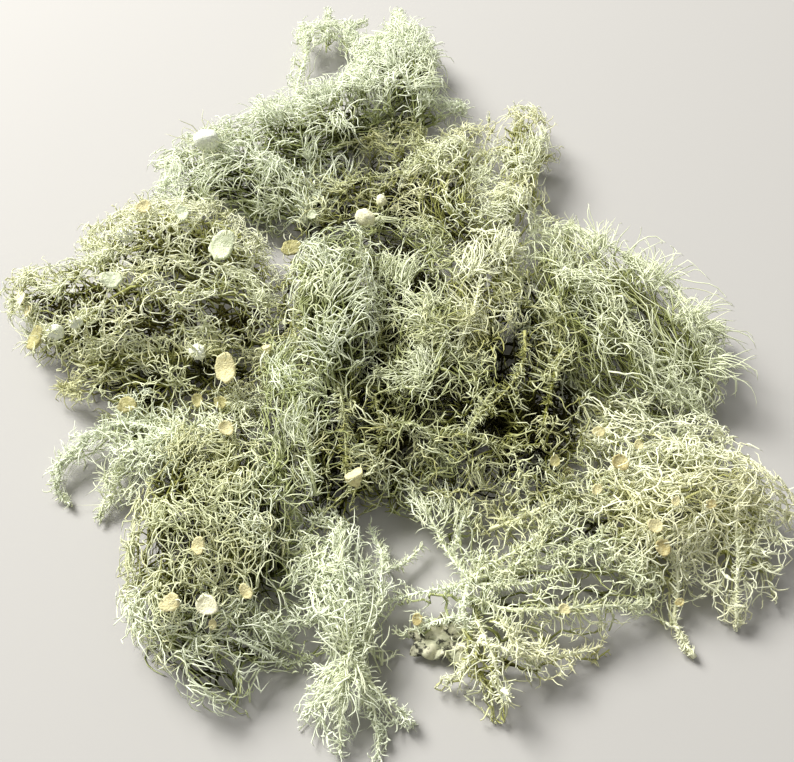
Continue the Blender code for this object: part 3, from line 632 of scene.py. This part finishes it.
# right low tuft: pale yellow, soft and full
full = {"fibrilWidth": 0.43, "fibrilLength": (6, 14), "turn": 2.6, "wave": 0.45, "order": 0.6}
forks.append({**cream, **full, "node": "right_low_back_fork", "light": 0.34, "fronds": [
    [(51, -23, 9, 4), (60, -27, 10, 7.5), (70, -32, 11, 9.5), (80, -31, 10, 9), (89, -26, 8, 4)],
    [(75, -19, 8, 3), (79, -33, 10, 7)]]})
forks.append({**cream, **full, "node": "right_low_body", "light": 0.40, "fronds": [
    [(55, -41, 11, 8), (66, -50, 12, 11.5), (76, -46, 12, 12), (86, -44, 11, 12), (95, -46, 9, 8),
     (102, -49, 6, 2.5)]]})
forks.append({**cream, "spines": [([(85, -76), (84, -71), (85, -63), (86, -50)], 4.0)], **full, "node": "right_low_front_fork", "light": 0.40, "fronds": [
    [(86, -50, 8, 8.5), (85, -63, 7, 6.5), (84, -71, 4.5, 4), (85, -76, 2.8, 1.1)],
    [(88, -58, 7, 6), (96, -60, 6, 6), (94, -69, 4, 2)]]})
forks.append({**cream, "spines": [([(73, -84), (69, -76), (70, -68), (66, -58)], 2.6), ([(59, -52), (66, -60), (73, -67)], 3.5)],
              **full, "node": "right_low_left_fork", "light": 0.28, "fronds": [
    [(58, -50, 9, 8), (66, -60, 8, 8.5), (73, -67, 5, 2.5)],
    [(66, -58, 7, 6), (70, -68, 5, 3), (69, -76, 3.5, 1.8), (73, -84, 2.8, 1.1)]]})

# lower left tuft: fine pale hair outside, olive inside, two pale tails
forks.append({**mint, "node": "lower_left_tails", "light": 0.28, "spread": 0.7, "bristles": 0.3, "order": 0.5,
              "lean": (30, 90), "fibrils": 1.2, "whorls": 0.02, "spines": [
    ([(-60, -28), (-75, -22), (-84, -24), (-91, -30), (-93, -38), (-89, -42)], 3.0),
    ([(-58, -28), (-68, -29), (-76, -33), (-76, -40), (-80, -46)], 3.2)],
    "sprays": [((-58, -26), (-0.6, 0.8), 11, 24), ((-62, -28), (-0.6, -0.8), 11, 20)], "fronds": [
    [(-89, -42, 2.8, 1.1), (-93, -38, 3.4, 1.6), (-91, -30, 5, 3.5), (-84, -24, 6, 4.5), (-75, -22, 7, 6),
     (-65, -25, 8, 8), (-56, -28, 9, 8)],
    [(-80, -46, 2.8, 1.2), (-76, -40, 4, 3.2), (-76, -33, 5, 4.5), (-68, -29, 7, 7), (-58, -28, 9, 8)]]})
forks.append({**yellow, "node": "lower_left_top_fork", "stray": 1.5, "whorls": 0.01, "fronds": [
    [(-60, -14, 6, 3), (-52, -18, 8, 6.5), (-44, -18, 8, 7), (-37, -20, 6, 3.5)],
    [(-47, -14, 8, 6), (-46, -32, 10, 9)]]})
forks.append({**mint, "node": "lower_left_right_fork", "fibrilWidth": 0.36, "fronds": [
    [(-38, -30, 10, 7), (-35, -43, 11, 9.5), (-34, -56, 11, 10), (-33, -68, 9, 8.5), (-26, -74, 7, 4)],
    [(-24, -53, 7, 4), (-33, -61, 9, 8.5)]]})
forks.append({**mint, "spines": [([(-38, -83), (-32, -85), (-27, -86), (-21, -84)], 2.6)], "node": "lower_left_front_fork", "fibrilWidth": 0.36, "fronds": [
    [(-61, -67, 7, 7), (-57, -78, 7, 8), (-47, -86, 7, 8), (-40, -91, 6, 5), (-37, -95, 3.5, 2)],
    [(-50, -80, 7, 8), (-38, -82, 7, 7.5), (-31, -83, 6, 4)],
    [(-38, -83, 5, 3), (-32, -85, 4, 2), (-27, -86, 3.5, 1.4), (-21, -84, 3.5, 1.2)]]})
forks.append({**olive, "node": "lower_left_body", "light": 0.06, "fibrils": 1.1, "whorls": 0.006, "fronds": [
    [(-54, -34, 10, 11), (-54, -48, 12, 12.5), (-53, -62, 12, 13), (-50, -74, 11, 11)],
    [(-44, -38, 10, 10), (-43, -56, 12, 11), (-43, -70, 10, 9)],
    [(-60, -38, 9, 7), (-61, -50, 10, 7), (-60, -62, 9, 7)]]})

# left tuft: wiry yellow and olive branchlets
wiry = {"turn": 1.6, "wave": 0.45, "lean": (30, 90), "fibrilLength": (4, 10), "hairs": 0.0, "wander": 2.0,
        "order": 0.4, "fibrils": 0.88, "twigTurn": 1.6, "whorls": 0.013, "mat": 0.2, "warm": -0.12, "light": 0.04, "fanFrom": (-62, 12, 0), "fanOut": 0.6,
        "stray": 2.0}
forks.append({**yellow, **wiry, "node": "left_tuft_arm", "fronds": [
    [(-119, 30, 7, 3), (-112, 26, 8, 8.5), (-103, 22, 11, 11.5), (-92, 22, 12, 13), (-82, 24, 14, 12)],
    [(-105, 7, 6, 4), (-99, 10, 8, 8.5), (-88, 15, 11, 11)]]})
forks.append({**cream, **wiry, "node": "left_tuft_back_fork", "light": 0.10, "fronds": [
    [(-98, 50, 8, 2.5), (-91, 45, 11, 8), (-81, 43, 14, 12), (-68, 42, 15, 14), (-54, 38, 13, 12),
     (-43, 33, 10, 7)],
    [(-84, 62, 10, 2.5), (-79, 54, 12, 8), (-72, 44, 14, 11)],
    [(-58, 58, 11, 5), (-61, 44, 13, 10)]]})
forks.append({**olive, **wiry, "node": "left_tuft_front_fork", "light": 0.14, "fronds": [
    [(-97, -2, 6, 4), (-86, -4, 8, 9), (-74, -6, 9, 10), (-60, -5, 10, 11), (-48, -6, 10, 10), (-40, -5, 8, 5)],
    [(-77, -6, 8, 8), (-72, -12, 7, 7), (-65, -17, 5, 4)]]})
forks.append({**yellow, **wiry, "node": "left_tuft_body", "fronds": [
    [(-88, 8, 12, 12), (-74, 13, 15, 15), (-60, 15, 15, 15), (-47, 15, 13, 12), (-37, 10, 10, 6)]]})

# back tuft: pale waves, with a loop of looped strands
wavy = {"turn": 2.5, "wave": 0.42, "lean": (20, 75), "fibrilLength": (6, 15), "light": 0.14, "warm": -0.3,
        "fibrilWidth": 0.41, "fibrils": 0.85, "sprayLoose": 5.5,
        "order": 0.5, "pull": (-0.2, 0.9, 0.2)}
forks.append({**mint, **wavy, "node": "back_tuft_loop", "spread": 0.7, "spines": [
    ([(-36, 112), (-37, 128), (-35, 144), (-36, 157), (-39, 170)], 3.6),
    ([(-38, 156), (-30, 163), (-21, 162), (-16, 150), (-14, 137), (-14, 122)], 3.8),
    ([(-27, 156), (-28, 170), (-28, 182)], 3.0), ([(-20, 154), (-18, 166), (-13, 173)], 3.0)], "fronds": [
    [(-36, 110, 10, 5), (-37, 128, 8, 4), (-35, 144, 8, 4.5), (-36, 157, 8, 4.5), (-39, 170, 7, 1.5)],
    [(-38, 156, 8, 3.5), (-30, 163, 8, 5), (-21, 162, 8, 5), (-16, 150, 8, 4.5), (-14, 137, 9, 5),
     (-14, 122, 9, 7)],
    [(-27, 156, 8, 4), (-28, 170, 8, 3), (-28, 182, 7, 1.2)],
    [(-20, 154, 8, 4), (-18, 166, 8, 3), (-13, 173, 7, 1.2)]]})
forks.append({**mint, **wavy, "node": "back_tuft_right_fork", "fibrils": 0.75, "spines": [
    ([(1, 179), (1, 166), (4, 149), (5, 136)], 4.5), ([(-6, 160), (-7, 146), (-2, 132)], 4.5),
    ([(24, 119), (18, 113), (8, 107)], 4.0)],
    "sprays": [((4, 140), (-0.3, 1), 16, 40), ((8, 130), (0.8, 1), 14, 40), ((0, 125), (-0.6, 1), 16, 40),
               ((5, 112), (1, 0.2), 15, 30)], "fronds": [
    [(1, 179, 9, 1.2), (1, 166, 10, 4), (4, 149, 10, 9), (5, 136, 11, 11.5), (5, 122, 12, 12), (0, 106, 12, 13)],
    [(-6, 160, 8, 2), (-7, 146, 10, 6), (-2, 132, 11, 9)],
    [(24, 119, 8, 2), (18, 113, 9, 5), (4, 107, 11, 7)]]})
forks.append({**mint, **wavy, "node": "back_tuft_body", "pull": (-0.5, 1.3, 0.3), "whorls": 0.005,
              "sprays": [((-25, 100), (-0.2, 1), 15, 50), ((-40, 92), (-0.6, 1), 14, 50), ((-55, 80), (-1, 0.3), 14, 50),
                         ((-20, 92), (0.2, -1), 13, 40), ((-40, 76), (-0.2, -1), 13, 40)], "fronds": [
    [(-77, 83, 9, 6), (-66, 84, 11, 10), (-50, 88, 12, 12.5), (-34, 94, 12, 14), (-17, 99, 13, 15)],
    [(-78, 71, 8, 4), (-66, 71, 9, 9), (-52, 73, 11, 12), (-38, 71, 10, 11), (-29, 60, 8, 5)],
    [(-50, 74, 8, 8), (-46, 64, 7, 6), (-40, 58, 6, 4)],
    [(-48, 116, 9, 3.5), (-41, 98, 11, 9)],
    [(-14, 118, 11, 10), (-22, 102, 12, 12)]]})

# back right tuft: fine and yellow-green
fine = {"fibrilWidth": 0.36, "fibrilLength": (5, 11), "turn": 1.9, "order": 0.5, "pull": (0.0, 0.8, 0.2)}
forks.append({**yellow, **fine, "node": "back_right_outer_fork", "light": 0.16, "fronds": [
    [(47, 116, 8, 2), (45, 104, 10, 7.5), (44, 92, 10, 10), (42, 78, 10, 8.5), (39, 64, 11, 9), (35, 52, 12, 11)],
    [(55, 92, 8, 2.5), (44, 92, 10, 7)],
    [(49, 68, 8, 2.5), (42, 80, 10, 6)]]})
forks.append({**yellow, **fine, "node": "back_right_inner_fork", "light": 0.12, "fronds": [
    [(25, 107, 8, 2), (23, 96, 9, 6), (20, 84, 10, 9), (16, 72, 11, 10), (16, 58, 12, 11.5), (24, 47, 13, 12)],
    [(33, 110, 8, 2), (32, 98, 9, 4.5), (31, 84, 10, 5), (22, 70, 10, 5)]]})
forks.append({**olive, **fine, "node": "back_right_dark_fork", "light": -0.22, "fronds": [
    [(4, 98, 7, 4), (6, 86, 8, 8.5), (5, 74, 8, 10), (0, 62, 9, 11)],
    [(5, 68, 8, 9), (-14, 64, 8, 10), (-27, 56, 8, 8)],
    [(-4, 88, 8, 6), (-18, 78, 8, 7), (-30, 66, 8, 7)]]})

# centre tuft: a pale spray over olive bottle-brush stems
forks.append({**cream, "node": "centre_pale_fork", "light": -0.10, "sprayLight": 0.5, "fibrilLength": (7, 14),
          "lean": (20, 65), "turn": 1.8, "bristles": 0.2, "warm": -0.5, "fibrilWidth": 0.41, "fibrils": 0.85, "sprays": [
                  ((21, -5), (-0.9, 0.7), 15, 40), ((22, 2), (-0.3, 1), 16, 50), ((22, 20), (0.2, 1), 13, 50),
                  ((30, 28), (0.3, 1), 13, 60)],
              "spines": [([(14, -8), (20, 2), (24, 16)], 4.0)], "fronds": [
              [(33, 42, 16, 7), (28, 30, 19, 9), (22, 16, 20, 10), (15, 3, 18, 9), (10, -8, 15, 5)]]})
forks.append({**olive, **brushy, "node": "centre_left_fork", "light": -0.22, "mat": 0.14, "fibrils": 1.25, "spineLight": 0.1, "spines": [
    ([(-16, -14), (-14, -26), (-13, -40)], 3.8), ([(-6, -20), (-4, -30), (-8, -40)], 3.5),
    ([(-28, 20), (-30, 6), (-27, -8)], 3.5)], "fibrilLength": (4, 9), "fronds": [
    [(-30, 40, 8, 6), (-20, 30, 10, 10), (-14, 14, 11, 12), (-12, -4, 11, 13), (-12, -22, 11, 13),
     (-14, -38, 9, 9), (-18, -46, 6, 4)],
    [(-25, 34, 12, 7), (-30, 18, 14, 8), (-30, 2, 14, 8), (-27, -10, 11, 6)]]})
forks.append({**sage, "node": "centre_middle_fork", "light": -0.24, "spineLight": 0.15, "sprayLight": 0.5,
              "fibrilLength": (7, 14), "fibrilWidth": 0.41, "fibrils": 0.85, "warm": -0.35, "sprays": [
    ((12, 4), (-0.8, 1), 16, 60), ((8, -14), (0, 1), 11, 40), ((7, -15), (-1, 0.2), 10, 30), ((2, 20), (0.2, 1), 13, 50),
    ((-2, 24), (0.1, 1), 11, 40)],
    "spines": [([(20, -8), (12, -2), (4, 4)], 4.5), ([(-2, -28), (8, -30), (14, -35)], 3.5)], "fronds": [
    [(-8, 46, 10, 9), (2, 36, 12, 12), (6, 22, 13, 13), (8, 6, 13, 14), (8, -10, 13, 14), (2, -26, 12, 12),
     (-2, -38, 8, 7)]]})
forks.append({**olive, **brushy, "node": "centre_right_fork", "light": -0.22, "mat": 0.14, "fibrils": 1.25, "spineLight": 0.1, "spines": [
    ([(36, 2), (35, -8), (30, -18), (20, -28)], 3.8), ([(19, -30), (23, -23), (27, -17)], 3.0),
    ([(21, -20), (26, -26)], 2.6), ([(12, -30), (26, -33), (40, -33)], 3.8), ([(46, -2), (42, -16), (38, -30)], 3.8)], "fibrilLength": (4, 9), "fronds": [
    [(34, 30, 10, 11), (32, 14, 12, 13), (30, -2, 12, 13), (26, -18, 12, 13), (18, -30, 11, 11), (12, -38, 8, 6)],
    [(46, -6, 11, 10), (40, -22, 11, 12), (34, -36, 9, 10)],
    [(24, -12, 11, 10), (40, -24, 10, 10)],
    [(2, -38, 7, 5), (14, -41, 8, 6), (27, -43, 8, 6), (40, -42, 8, 5)]]})

# right mass: long sage-green hair with loose wisps at its edge
hairy = {"fibrilWidth": 0.36, "fibrilLength": (6, 13), "lean": (15, 60), "turn": 1.6, "hairs": 0.03, "light": 0.27, "warm": -0.4,
         "wander": 2.3, "twist": 1.6}
forks.append({**sage, **hairy, "node": "right_mass_upper_fork", "spines": [
    ([(99, 13), (92, 11), (80, 8)], 3.6), ([(76, 40), (70, 32)], 3.6), ([(57, 57), (54, 47)], 3.6),
    ([(74, 36), (84, 27), (92, 16), (95, 4), (92, -8)], 2.8)],
    "sprays": [((84, 8), (1, 0.6), 14, 24), ((74, 22), (1, 1), 14, 24), ((62, 38), (0.6, 1), 14, 24),
               ((88, -4), (1, -0.2), 14, 24), ((78, 22), (1, 0.2), 24, 6), ((88, 6), (1, -0.6), 20, 6),
               ((70, 32), (1, 0.4), 20, 6)], "sprayLoose": 9.0, "loose": 6.5, "fronds": [
    [(57, 57, 8, 2), (53, 47, 10, 7), (59, 36, 12, 9), (67, 25, 12, 12), (75, 13, 12, 12.5), (84, 1, 10, 11),
     (91, -10, 7, 4)],
    [(76, 40, 8, 3), (68, 28, 11, 7)],
    [(99, 13, 6, 1.4), (92, 11, 8, 5), (80, 8, 10, 8)]]})
forks.append({**sage, **hairy, "node": "right_mass_lower_fork", "fronds": [
    [(46, 38, 11, 9), (49, 25, 11, 11.5), (54, 11, 13, 14), (60, -3, 13, 13.5), (70, -12, 10, 10),
     (84, -15, 7, 4)]]})
for fork in forks:
    fork["courses"] = [courseOf(frond) for frond in fork["fronds"]]
for fork in forks:
    growFork(fork, np.vstack([c[::3] for other in forks if other is not fork for c in other["courses"]]))
print("strands", strandTotal)


# fruiting discs: shallow cups with a rim, on the strands of their tuft
def deselect():
    bpy.ops.object.select_all(action="DESELECT")


def discMaterial(name, face, rim):
    made = Shader(name)
    place = made.add("ShaderNodeTexCoord", "Object")
    mottle = made.add("ShaderNodeTexNoise", "Fac", Vector=place, Scale=900.0, Detail=4.0)
    grain = made.add("ShaderNodeTexNoise", "Fac", Vector=place, Scale=2200.0, Detail=3.0)
    colour = made.mix(made.ramp(mottle, 0.38, 0.66), face, rim)
    bump = made.add("ShaderNodeBump", "Normal", Strength=0.8, Distance=0.0005, Height=grain)
    made.put(made.main.inputs["Normal"], bump)
    return made.principled(colour, 0.75)


creamDisc = discMaterial("cream_disc", (0.82, 0.76, 0.43), (0.72, 0.65, 0.34))
paleDisc = discMaterial("pale_disc", (0.93, 0.91, 0.66), (0.85, 0.82, 0.55))
whiteDisc = discMaterial("white_disc", (0.93, 0.95, 0.83), (0.80, 0.84, 0.68))
mintDisc = discMaterial("mint_disc", (0.82, 0.87, 0.63), (0.64, 0.70, 0.45))
tanDisc = discMaterial("tan_disc", (0.50, 0.42, 0.18), (0.70, 0.64, 0.34))
oliveDisc = discMaterial("olive_disc", (0.42, 0.39, 0.16), (0.56, 0.52, 0.26))


def modelDisc(name, hollow, thick, lump, narrowing=0.0):
    # a disc one unit wide: a squat ball flattened, hollowed from above and made uneven
    deselect()
    bpy.ops.mesh.primitive_uv_sphere_add(segments=24, ring_count=12, radius=0.5)
    disc = bpy.context.object
    disc.name = name
    bpy.ops.object.mode_set(mode="EDIT")
    bpy.ops.mesh.select_all(action="SELECT")
    bpy.ops.transform.resize(value=(1.0, 1.0, thick))
    bpy.ops.object.mode_set(mode="OBJECT")
    waves = np.random.default_rng(len(name)).uniform(0.0, 6.28, 4)
    for vert in disc.data.vertices:
        x, y, z = vert.co
        reach = math.hypot(x, y) * 2
        turn = math.atan2(y, x)
        rim = 1.0 + lump * (math.sin(2 * turn + waves[0]) + 0.6 * math.sin(3 * turn + waves[1])
                            + 0.3 * math.sin(7 * turn + waves[2]))
        rim *= 1.0 - narrowing * max(0.0, 0.5 - z / thick) ** 1.3
        dip = hollow * max(0.0, 1.0 - (reach / 0.9) ** 3) if z > 0 else 0.0
        corner = Vector((x * rim, y * rim, z - dip + lump * 0.5 * reach * math.sin(2 * turn + waves[3])))
        uneven = 0.09 * noise.noise(corner * 3.0) + 0.015 * noise.noise(corner * 11.0)
        vert.co = corner + corner.normalized() * uneven
    bpy.ops.object.shade_smooth()
    return disc


dishPattern = modelDisc("dish_pattern", 0.20, 0.36, 0.06)
ballPattern = modelDisc("ball_pattern", 0.02, 0.95, 0.05)
flapPattern = modelDisc("flap_pattern", 0.14, 0.32, 0.12)
cupPattern = modelDisc("cup_pattern", 0.30, 0.95, 0.03, 0.8)
print("disc patterns modelled")

up, front, left, aside = (0.0, -0.45, 0.9), (-0.25, -0.5, 0.8), (-0.6, -0.3, 0.75), (-0.25, 0.55, 0.8)
allRings = np.vstack([course for fork in forks for course in fork["courses"]])
discDice = np.random.default_rng(3)


# short branchlets that stand out all round the rim of a disc
def lashArrays(place, turn, width, count, length):
    around = np.arange(count) * 2 * math.pi / count + discDice.uniform(-0.3, 0.3, count)
    flat = np.stack([np.cos(around), np.sin(around), np.full(count, 0.0)], axis=-1)
    spin = np.array(turn.to_3x3())
    out = flat @ spin.T
    heading = unit(out + spin[:, 2] * discDice.uniform(-0.3, 3.0 if count > 20 else 0.6, (count, 1)))
    here = place + heading * width * 0.38
    lengths = length * discDice.uniform(0.6, 1.3, count)
    paths, facing = sprouts(here, heading, out, lengths, np.zeros(count), discDice.normal(0.0, 1.8, count),
                            0.35, discDice, 6)
    shade = np.clip(discDice.uniform(0.7, 1.0, count), 0.0, 1.0)[:, None] * np.ones(6)
    return tubeArrays(paths, np.full(count, 0.36), facing, shade, discDice.uniform(0.2, 0.6, count), 0.6)


# every disc is (pattern, finish, (x, y), width, facing, lashes, their length); those of a tuft are one piece
def placeDiscs(name, discs):
    deselect()
    copies = []
    lashes = []
    for k, (pattern, finish, (x, y), width, facing, count, length) in enumerate(discs):
        copy = pattern.copy()
        copy.data = pattern.data.copy()
        copy.data.materials.append(finish)
        bpy.context.scene.collection.objects.link(copy)
        turn = Vector(facing).to_track_quat("Z", "Y").to_matrix().to_4x4()
        spin = turn @ Matrix.Rotation(2.4 * k, 4, "Z")
        copy.data.transform(spin @ Matrix.Diagonal((width * mm, width * 0.86 * mm, width * mm, 1.0)))
        x, y = x - middle[0], y - middle[1]
        place = Vector((x, y, topAt(allRings, x, y) + proud + 0.3 * width))
        copy.data.transform(Matrix.Translation(place * mm))
        copies.append(copy)
        lashes.append(lashArrays(np.array(place), turn, width, count, length))
    for copy in copies:
        copy.select_set(True)
    bpy.context.view_layer.objects.active = copies[0]
    if len(copies) > 1:
        bpy.ops.object.join()
    piece = bpy.context.object
    piece.name = name
    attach(piece, root)
    fringe = bpy.data.objects.new(name + "_lashes", strandMesh(name + "_lashes", lashes))
    bpy.context.scene.collection.objects.link(fringe)
    fringe.data.materials.append(creamMaterial)
    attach(fringe, root)
    print(name, len(discs), "discs")


proud = 1.8  # how far the smallest discs stand above the form of their tuft
placeDiscs("left_tuft_discs", [
    (dishPattern, paleDisc, (-110, 16), 4.4, left, 6, 4), (dishPattern, creamDisc, (-108, 13), 3.5, left, 5, 4),
    (flapPattern, oliveDisc, (-105, 5), 7.4, left, 14, 6), (ballPattern, whiteDisc, (-97, 3), 5.0, left, 26, 4),
    (ballPattern, whiteDisc, (-90, 3), 4.0, up, 26, 4), (ballPattern, whiteDisc, (-81, 35), 5.0, up, 34, 3),
    (flapPattern, mintDisc, (-64, 40), 4.8, up, 8, 5), (flapPattern, mintDisc, (-52, 31), 9.0, up, 14, 4),
    (dishPattern, creamDisc, (-76, 43), 4.6, up, 8, 5), (ballPattern, whiteDisc, (-55, -6), 4.8, front, 34, 3),
    (flapPattern, creamDisc, (-47, -11), 7.8, front, 8, 4), (cupPattern, creamDisc, (-36, -5), 3.9, aside, 4, 3),
    (flapPattern, oliveDisc, (-75, -17), 5.6, front, 8, 4), (flapPattern, mintDisc, (-80, 13), 6.0, up, 12, 5),
    (dishPattern, oliveDisc, (-55, -17), 3.9, front, 5, 3)])
placeDiscs("lower_left_discs", [
    (dishPattern, oliveDisc, (-48, -19), 3.9, front, 5, 3), (dishPattern, creamDisc, (-45, -29), 4.4, up, 5, 3),
    (flapPattern, creamDisc, (-47, -65), 4.2, front, 5, 3), (flapPattern, creamDisc, (-52, -78), 5.0, front, 6, 4),
    (dishPattern, paleDisc, (-44, -78), 5.6, front, 6, 3), (flapPattern, creamDisc, (-36, -73), 3.8, front, 5, 3),
    (dishPattern, creamDisc, (-43, -81), 2.4, front, 3, 2)])
placeDiscs("back_discs", [
    (ballPattern, whiteDisc, (-62.5, 80), 8.2, up, 16, 9),
    (ballPattern, paleDisc, (-10, 47.5), 6.5, up, 6, 4), (ballPattern, paleDisc, (-5, 57), 3.8, up, 4, 3),
    (dishPattern, mintDisc, (-27, 53), 3.4, up, 5, 3), (flapPattern, oliveDisc, (-33, 40), 6.2, up, 8, 4)])
placeDiscs("centre_discs", [
    (cupPattern, creamDisc, (-11, -43), 6.6, aside, 6, 5),
    (flapPattern, tanDisc, (46, -36), 3.0, up, 4, 2), (dishPattern, oliveDisc, (41, -38), 3.2, up, 4, 2)])
placeDiscs("right_discs", [
    (dishPattern, creamDisc, (54, -28), 3.5, up, 4, 3), (dishPattern, tanDisc, (57, -40), 4.6, up, 4, 3),
    (dishPattern, creamDisc, (63, -34), 2.8, up, 4, 2), (dishPattern, creamDisc, (51, -46), 3.0, up, 4, 2),
    (dishPattern, tanDisc, (77, -53), 2.8, up, 4, 2), (dishPattern, creamDisc, (63, -58), 4.0, up, 4, 3),
    (dishPattern, tanDisc, (65, -62), 4.3, up, 4, 3), (dishPattern, creamDisc, (68, -53), 2.4, up, 3, 2),
    (dishPattern, tanDisc, (70, -72), 2.4, up, 3, 2), (dishPattern, creamDisc, (40, -76), 3.0, up, 4, 2),
    (ballPattern, whiteDisc, (25, -95), 3.2, front, 30, 3), (dishPattern, tanDisc, (5, -76), 3.0, up, 4, 2)])
for pattern in (dishPattern, ballPattern, flapPattern, cupPattern):
    bpy.data.objects.remove(pattern, do_unlink=True)


# ruffled scrap: a torn piece of a leafy lichen, grey-green with dark flecks
def ruffledScrap():
    scrap = {"width": 17.0, "depth": 11.0, "thickness": 0.7, "height": 2.8, "ruffle": 1.1,
             "place": (11.5, -79.5, 0.0)}
    deselect()
    bpy.ops.mesh.primitive_grid_add(x_subdivisions=48, y_subdivisions=36, size=1.0)
    leaf = bpy.context.object
    leaf.name = "ruffled_scrap_leaf"
    for vert in leaf.data.vertices:
        u, v = vert.co.x * 2, vert.co.y * 2
        x, y = u * math.sqrt(1 - v * v / 2), v * math.sqrt(1 - u * u / 2)
        turn = math.atan2(y, x)
        edge = math.hypot(x, y)
        lobe = 1.0 + 0.14 * math.sin(5 * turn + 1.0) + 0.08 * math.sin(9 * turn) + 0.04 * math.sin(17 * turn)
        waves = 0.6 * math.sin(6.2 * x + 1.3) * math.cos(7.0 * y) + 0.9 * edge ** 3 * math.sin(11 * turn + 0.5)
        vert.co = ((x * lobe * scrap["width"] / 2 + scrap["place"][0] - middle[0]) * mm,
                   (y * lobe * scrap["depth"] / 2 + scrap["place"][1] - middle[1]) * mm,
                   (scrap["height"] + scrap["ruffle"] * waves) * mm)
    solid = leaf.modifiers.new("thickness", "SOLIDIFY")
    solid.thickness = scrap["thickness"] * mm
    solid.offset = 0.0
    bpy.ops.object.modifier_apply(modifier=solid.name)
    bpy.ops.object.shade_smooth()
    made = Shader("flecked_leaf")
    place = made.add("ShaderNodeTexCoord", "Object")
    soft = made.add("ShaderNodeTexNoise", "Fac", Vector=place, Scale=260.0, Detail=4.0)
    fleck = made.add("ShaderNodeTexNoise", "Fac", Vector=place, Scale=460.0, Detail=5.0, Roughness=0.7)
    colour = made.mix(made.ramp(soft, 0.35, 0.65), (0.34, 0.35, 0.23), (0.64, 0.62, 0.45))
    colour = made.mix(made.ramp(fleck, 0.52, 0.60), colour, (0.05, 0.05, 0.035))
    leaf.data.materials.append(made.principled(colour, 0.8))
    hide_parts("ruffled_scrap")
    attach(leaf, root)


ruffledScrap()
print("discs and scrap made")


# floor, camera and light
def makeStage():
    bpy.ops.object.select_all(action="DESELECT")
    bpy.ops.mesh.primitive_plane_add(size=6.0, location=(0.0, 0.0, 0.0))
    ground = bpy.context.object
    ground.name = "ground"
    ground.data.materials.append(Shader("pale_ground").principled((0.43, 0.42, 0.40), 0.8))


def aimed(thing, target):
    away = thing.location - Vector(target)
    thing.rotation_euler = away.to_track_quat("Z", "Y").to_euler()


def makeCamera():
    view = bpy.data.cameras.new("view")
    view.sensor_width = 36.0
    view.sensor_fit = "HORIZONTAL"
    view.lens = 36.0 * 900 / 794  # the photograph's own lens, from its width and its converging lines
    view.clip_start = 0.01
    camera = bpy.data.objects.new("view", view)
    camera.location = (0.00866, -0.19158, 0.22117)
    aimed(camera, (0.00866, -0.03671, 0.0))
    bpy.context.scene.collection.objects.link(camera)
    bpy.context.scene.camera = camera


def areaLight(name, place, target, size, power, colour):
    lamp = bpy.data.lights.new(name, "AREA")
    lamp.shape = "SQUARE"
    lamp.size = size
    lamp.energy = power
    lamp.color = colour
    made = bpy.data.objects.new(name, lamp)
    made.location = place
    aimed(made, target)
    bpy.context.scene.collection.objects.link(made)


makeStage()
makeCamera()
areaLight("window", (-0.90, 0.75, 1.25), (0.0, 0.0, 0.0), 0.8, 60.0, (1.0, 0.99, 0.97))
world = bpy.data.worlds.new("studio")
world.use_nodes = True
world.node_tree.nodes["Background"].inputs["Color"].default_value = (1.0, 0.99, 0.97, 1.0)
world.node_tree.nodes["Background"].inputs["Strength"].default_value = 0.38
bpy.context.scene.world = world
bpy.context.scene.view_settings.view_transform = "Standard"
print("stage, camera and light made")
